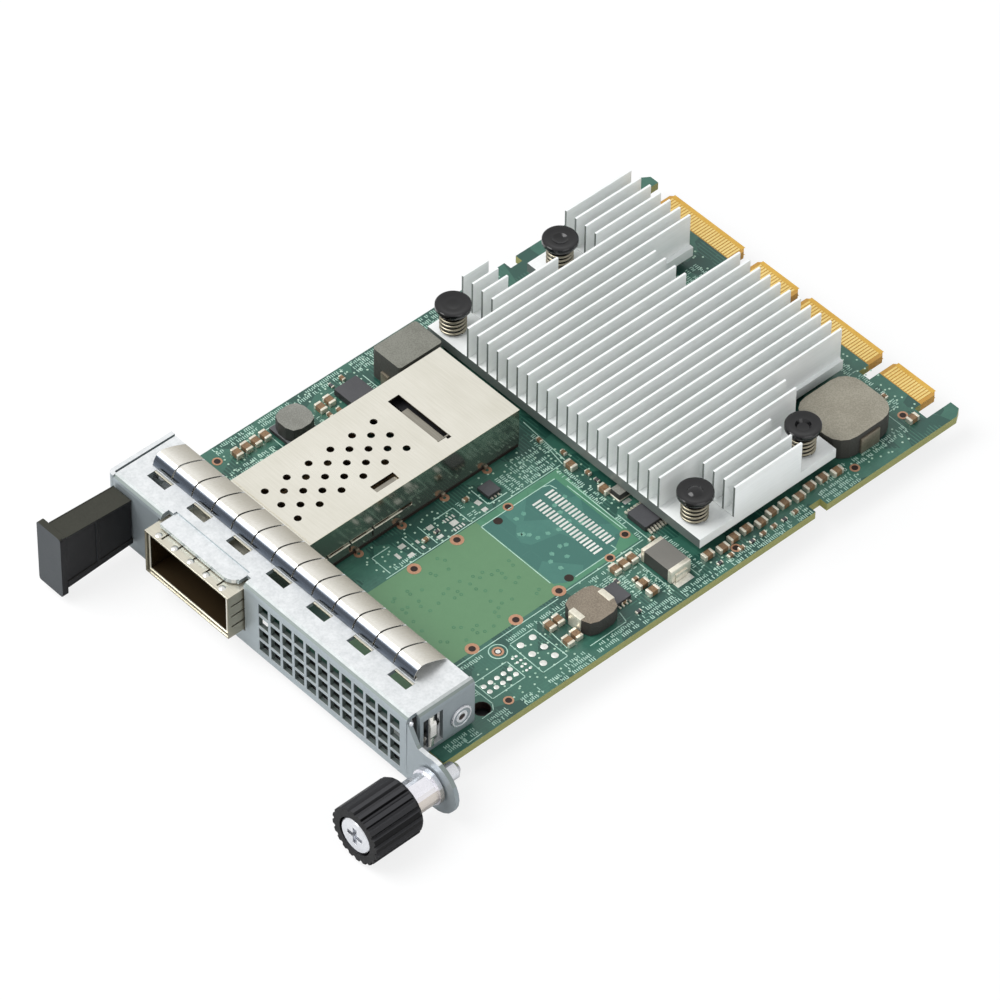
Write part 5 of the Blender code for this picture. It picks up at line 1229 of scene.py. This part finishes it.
@dataclass
class Heatsink:
    """The finned comb with its push pins and coil springs."""

    pin_places: tuple[tuple[float, float], ...] = ((-29.4, 67.4), (-29.0, 91.0), (28.1, 67.7), (28.9, 91.0))
    pin_dishes: tuple[float, ...] = (0.4, 0.6, -0.16, 0.9)
    pin_top: float = 9.75
    spring_low: float = 4.33
    spring_high: float = 7.2
    spring_radius: float = 2.12
    wire: float = 0.225
    turns: float = 4.5
    end_turns: float = 0.6

    def build(self) -> None:
        """Dress the comb and make each pin and spring."""
        dress(ALUMINIUM, "heatsink")
        for number, (x, y) in enumerate(self.pin_places, 1):
            self.pin(number, x, y)
            self.spring(number, x, y)

    def pin(self, number: int, x: float, y: float) -> None:
        """A push pin: dished head, neck, shaft and barb.

        Args:
            number: Which pin it is.
            x: Where its axis stands.
            y: Where its axis stands.
        """
        dish = self.pin_dishes[number - 1]
        head = [(0.02, dish), (0.55, dish), (1.0, dish - math.copysign(0.1, dish)), (1.35, 0.24), (1.6, 0.26),
                (2.3, 0.16), (2.75, 0.01), (2.95, 0.03), (3.08, 0.16), (3.1, 0.34), (3.1, 0.85), (3.0, 1.02),
                (2.5, 1.12), (2.15, 1.2)]
        shaft = [(2.1, 7.8), (1.9, 7.6), (1.5, 7.6), (1.5, -1.87), (2.1, -1.9), (2.1, -2.27), (0.75, -4.27),
                 (0.02, -4.27)]
        profile = [(radius, self.pin_top - down) for radius, down in head] + shaft
        piece(f"push_pin_{number}", spun(profile, (x, y, 0), sides=48), PIN,
              replaces=(f"heatsink_pin_{number}",))

    def spring(self, number: int, x: float, y: float) -> None:
        """A coil spring: a helix whose two end turns lie flat.

        Args:
            number: Which spring it is.
            x: Where its axis stands.
            y: Where its axis stands.
        """
        share = np.linspace(0, 1, int(self.turns * 26) + 1)
        angle = 2 * np.pi * self.turns * share
        level = np.clip((share * self.turns - self.end_turns) / (self.turns - 2 * self.end_turns), 0, 1)
        path = table(x + self.spring_radius * np.cos(angle), y + self.spring_radius * np.sin(angle),
                     self.spring_low + (self.spring_high - self.spring_low) * level)
        piece(f"coil_spring_{number}", tube(path, self.wire, 10), WIRE,
              replaces=(f"heatsink_spring_{number}",))


# ---------------------------------------------------------------------------------- studio

@dataclass
class Studio:
    """Camera at the photograph's angle, plain soft lamps, white world and pale floor."""

    azimuth: float = 46.961
    elevation: float = 46.339
    roll: float = 0.846
    lens: float = 247.5
    distance: float = 1116.994
    across: float = 11.533
    above: float = 9.418
    fit_scale: float = 1.0045
    fit_x: float = -0.33
    fit_y: float = -66.367
    floor_reach: float = 6.0
    floor_gap: float = 0.0005

    def build(self) -> None:
        """Set the camera, the lamps, the world and the floor."""
        self.camera()
        self.world()
        self.lamps()
        self.floor()
        bpy.context.scene.view_settings.view_transform = "Standard"

    def camera(self) -> None:
        """Stand the camera where the card's known sizes put it."""
        a, e, r = map(math.radians, (self.azimuth, self.elevation, self.roll))
        right = Vector((math.cos(a), math.sin(a), 0.0))
        ahead = Vector((-math.sin(a) * math.cos(e), math.cos(a) * math.cos(e), -math.sin(e)))
        up = right.cross(ahead)
        where = -(right * self.across + up * self.above + ahead * self.distance)
        where = (where - Vector((self.fit_x, self.fit_y, 0.0))) * self.fit_scale
        side = right * math.cos(r) + up * math.sin(r)
        top = up * math.cos(r) - right * math.sin(r)
        data = bpy.data.cameras.new("camera")
        data.lens, data.sensor_width = self.lens, 36.0
        data.clip_start, data.clip_end = 0.05, 20.0
        item = stand("camera", data)
        place = Matrix((side, top, -ahead)).transposed().to_4x4()
        place.translation = Vector(to_row(np.array(where)))
        item.matrix_world = place
        bpy.context.scene.camera = item

    def world(self) -> None:
        """White where a camera, glossy or transmitted ray leaves the scene, and softer as light."""
        world = bpy.data.worlds.new("studio")
        world.use_nodes = True
        world.node_tree.nodes.clear()
        add = partial(add_node, world.node_tree)
        path = add("LightPath").outputs
        seen = add("Math", {"operation": "MAXIMUM"}, {0: path["Is Camera Ray"], 1: path["Is Glossy Ray"]})
        seen = add("Math", {"operation": "MAXIMUM"}, {0: seen, 1: path["Is Transmission Ray"]})
        soft = add("Background", {}, {"Color": linear("#eef1f4"), "Strength": 0.55})
        white = add("Background", {}, {"Color": linear("#ffffff"), "Strength": 1.0})
        add("OutputWorld", {}, {"Surface": add("MixShader", {}, {0: seen, 1: soft, 2: white})})
        bpy.context.scene.world = world

    def lamps(self) -> None:
        """A large key lamp high at the left and front, and a weak one at the right."""
        aim = Vector((0.0, 0.0, 0.01))
        for name, place, size, power in (("key", (-0.35, -0.45, 0.75), 0.7, 9.0),
                                         ("fill", (0.75, -0.1, 0.4), 0.6, 1.6)):
            data = bpy.data.lights.new(name, "AREA")
            data.size, data.energy = size, power
            item = stand(name, data)
            item.location = place
            item.rotation_mode = "QUATERNION"
            item.rotation_quaternion = (aim - Vector(place)).to_track_quat("-Z", "Y")

    def floor(self) -> None:
        """A wide pale floor just under the card, white to the camera but for the soft shadow."""
        made, tree = new_tree("pale_floor")
        add = partial(add_node, tree)
        matt = add("BsdfDiffuse", {}, {"Color": linear("#f4f4f4")})
        glow = add("Emission", {}, {"Color": linear("#ffffff"), "Strength": 1.0})
        seen = add("LightPath").outputs["Is Camera Ray"]
        share = add("Math", {"operation": "MULTIPLY"}, {0: seen, 1: 0.8})
        add("OutputMaterial", {}, {"Surface": add("MixShader", {}, {0: share, 1: matt, 2: glow})})
        mesh = bpy.data.meshes.new("floor")
        reach, level = self.floor_reach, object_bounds()[0].z - self.floor_gap
        mesh.from_pydata([(x * reach, y * reach, level) for x, y in ((-1, -1), (1, -1), (1, 1), (-1, 1))], [],
                         [(0, 1, 2, 3)])
        mesh.materials.append(made)
        stand("floor", mesh)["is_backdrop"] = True


def main() -> None:
    """Build the card's looks and the studio."""
    logging.basicConfig(level=logging.INFO, format="%(message)s")
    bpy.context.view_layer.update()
    for part in (CircuitBoard(), SolderedParts(), Cage(), FingerStrip(), Front(), Heatsink(), Studio()):
        part.build()
        LOG.info("%s is built", type(part).__name__)


if __name__ == "__main__":
    main()
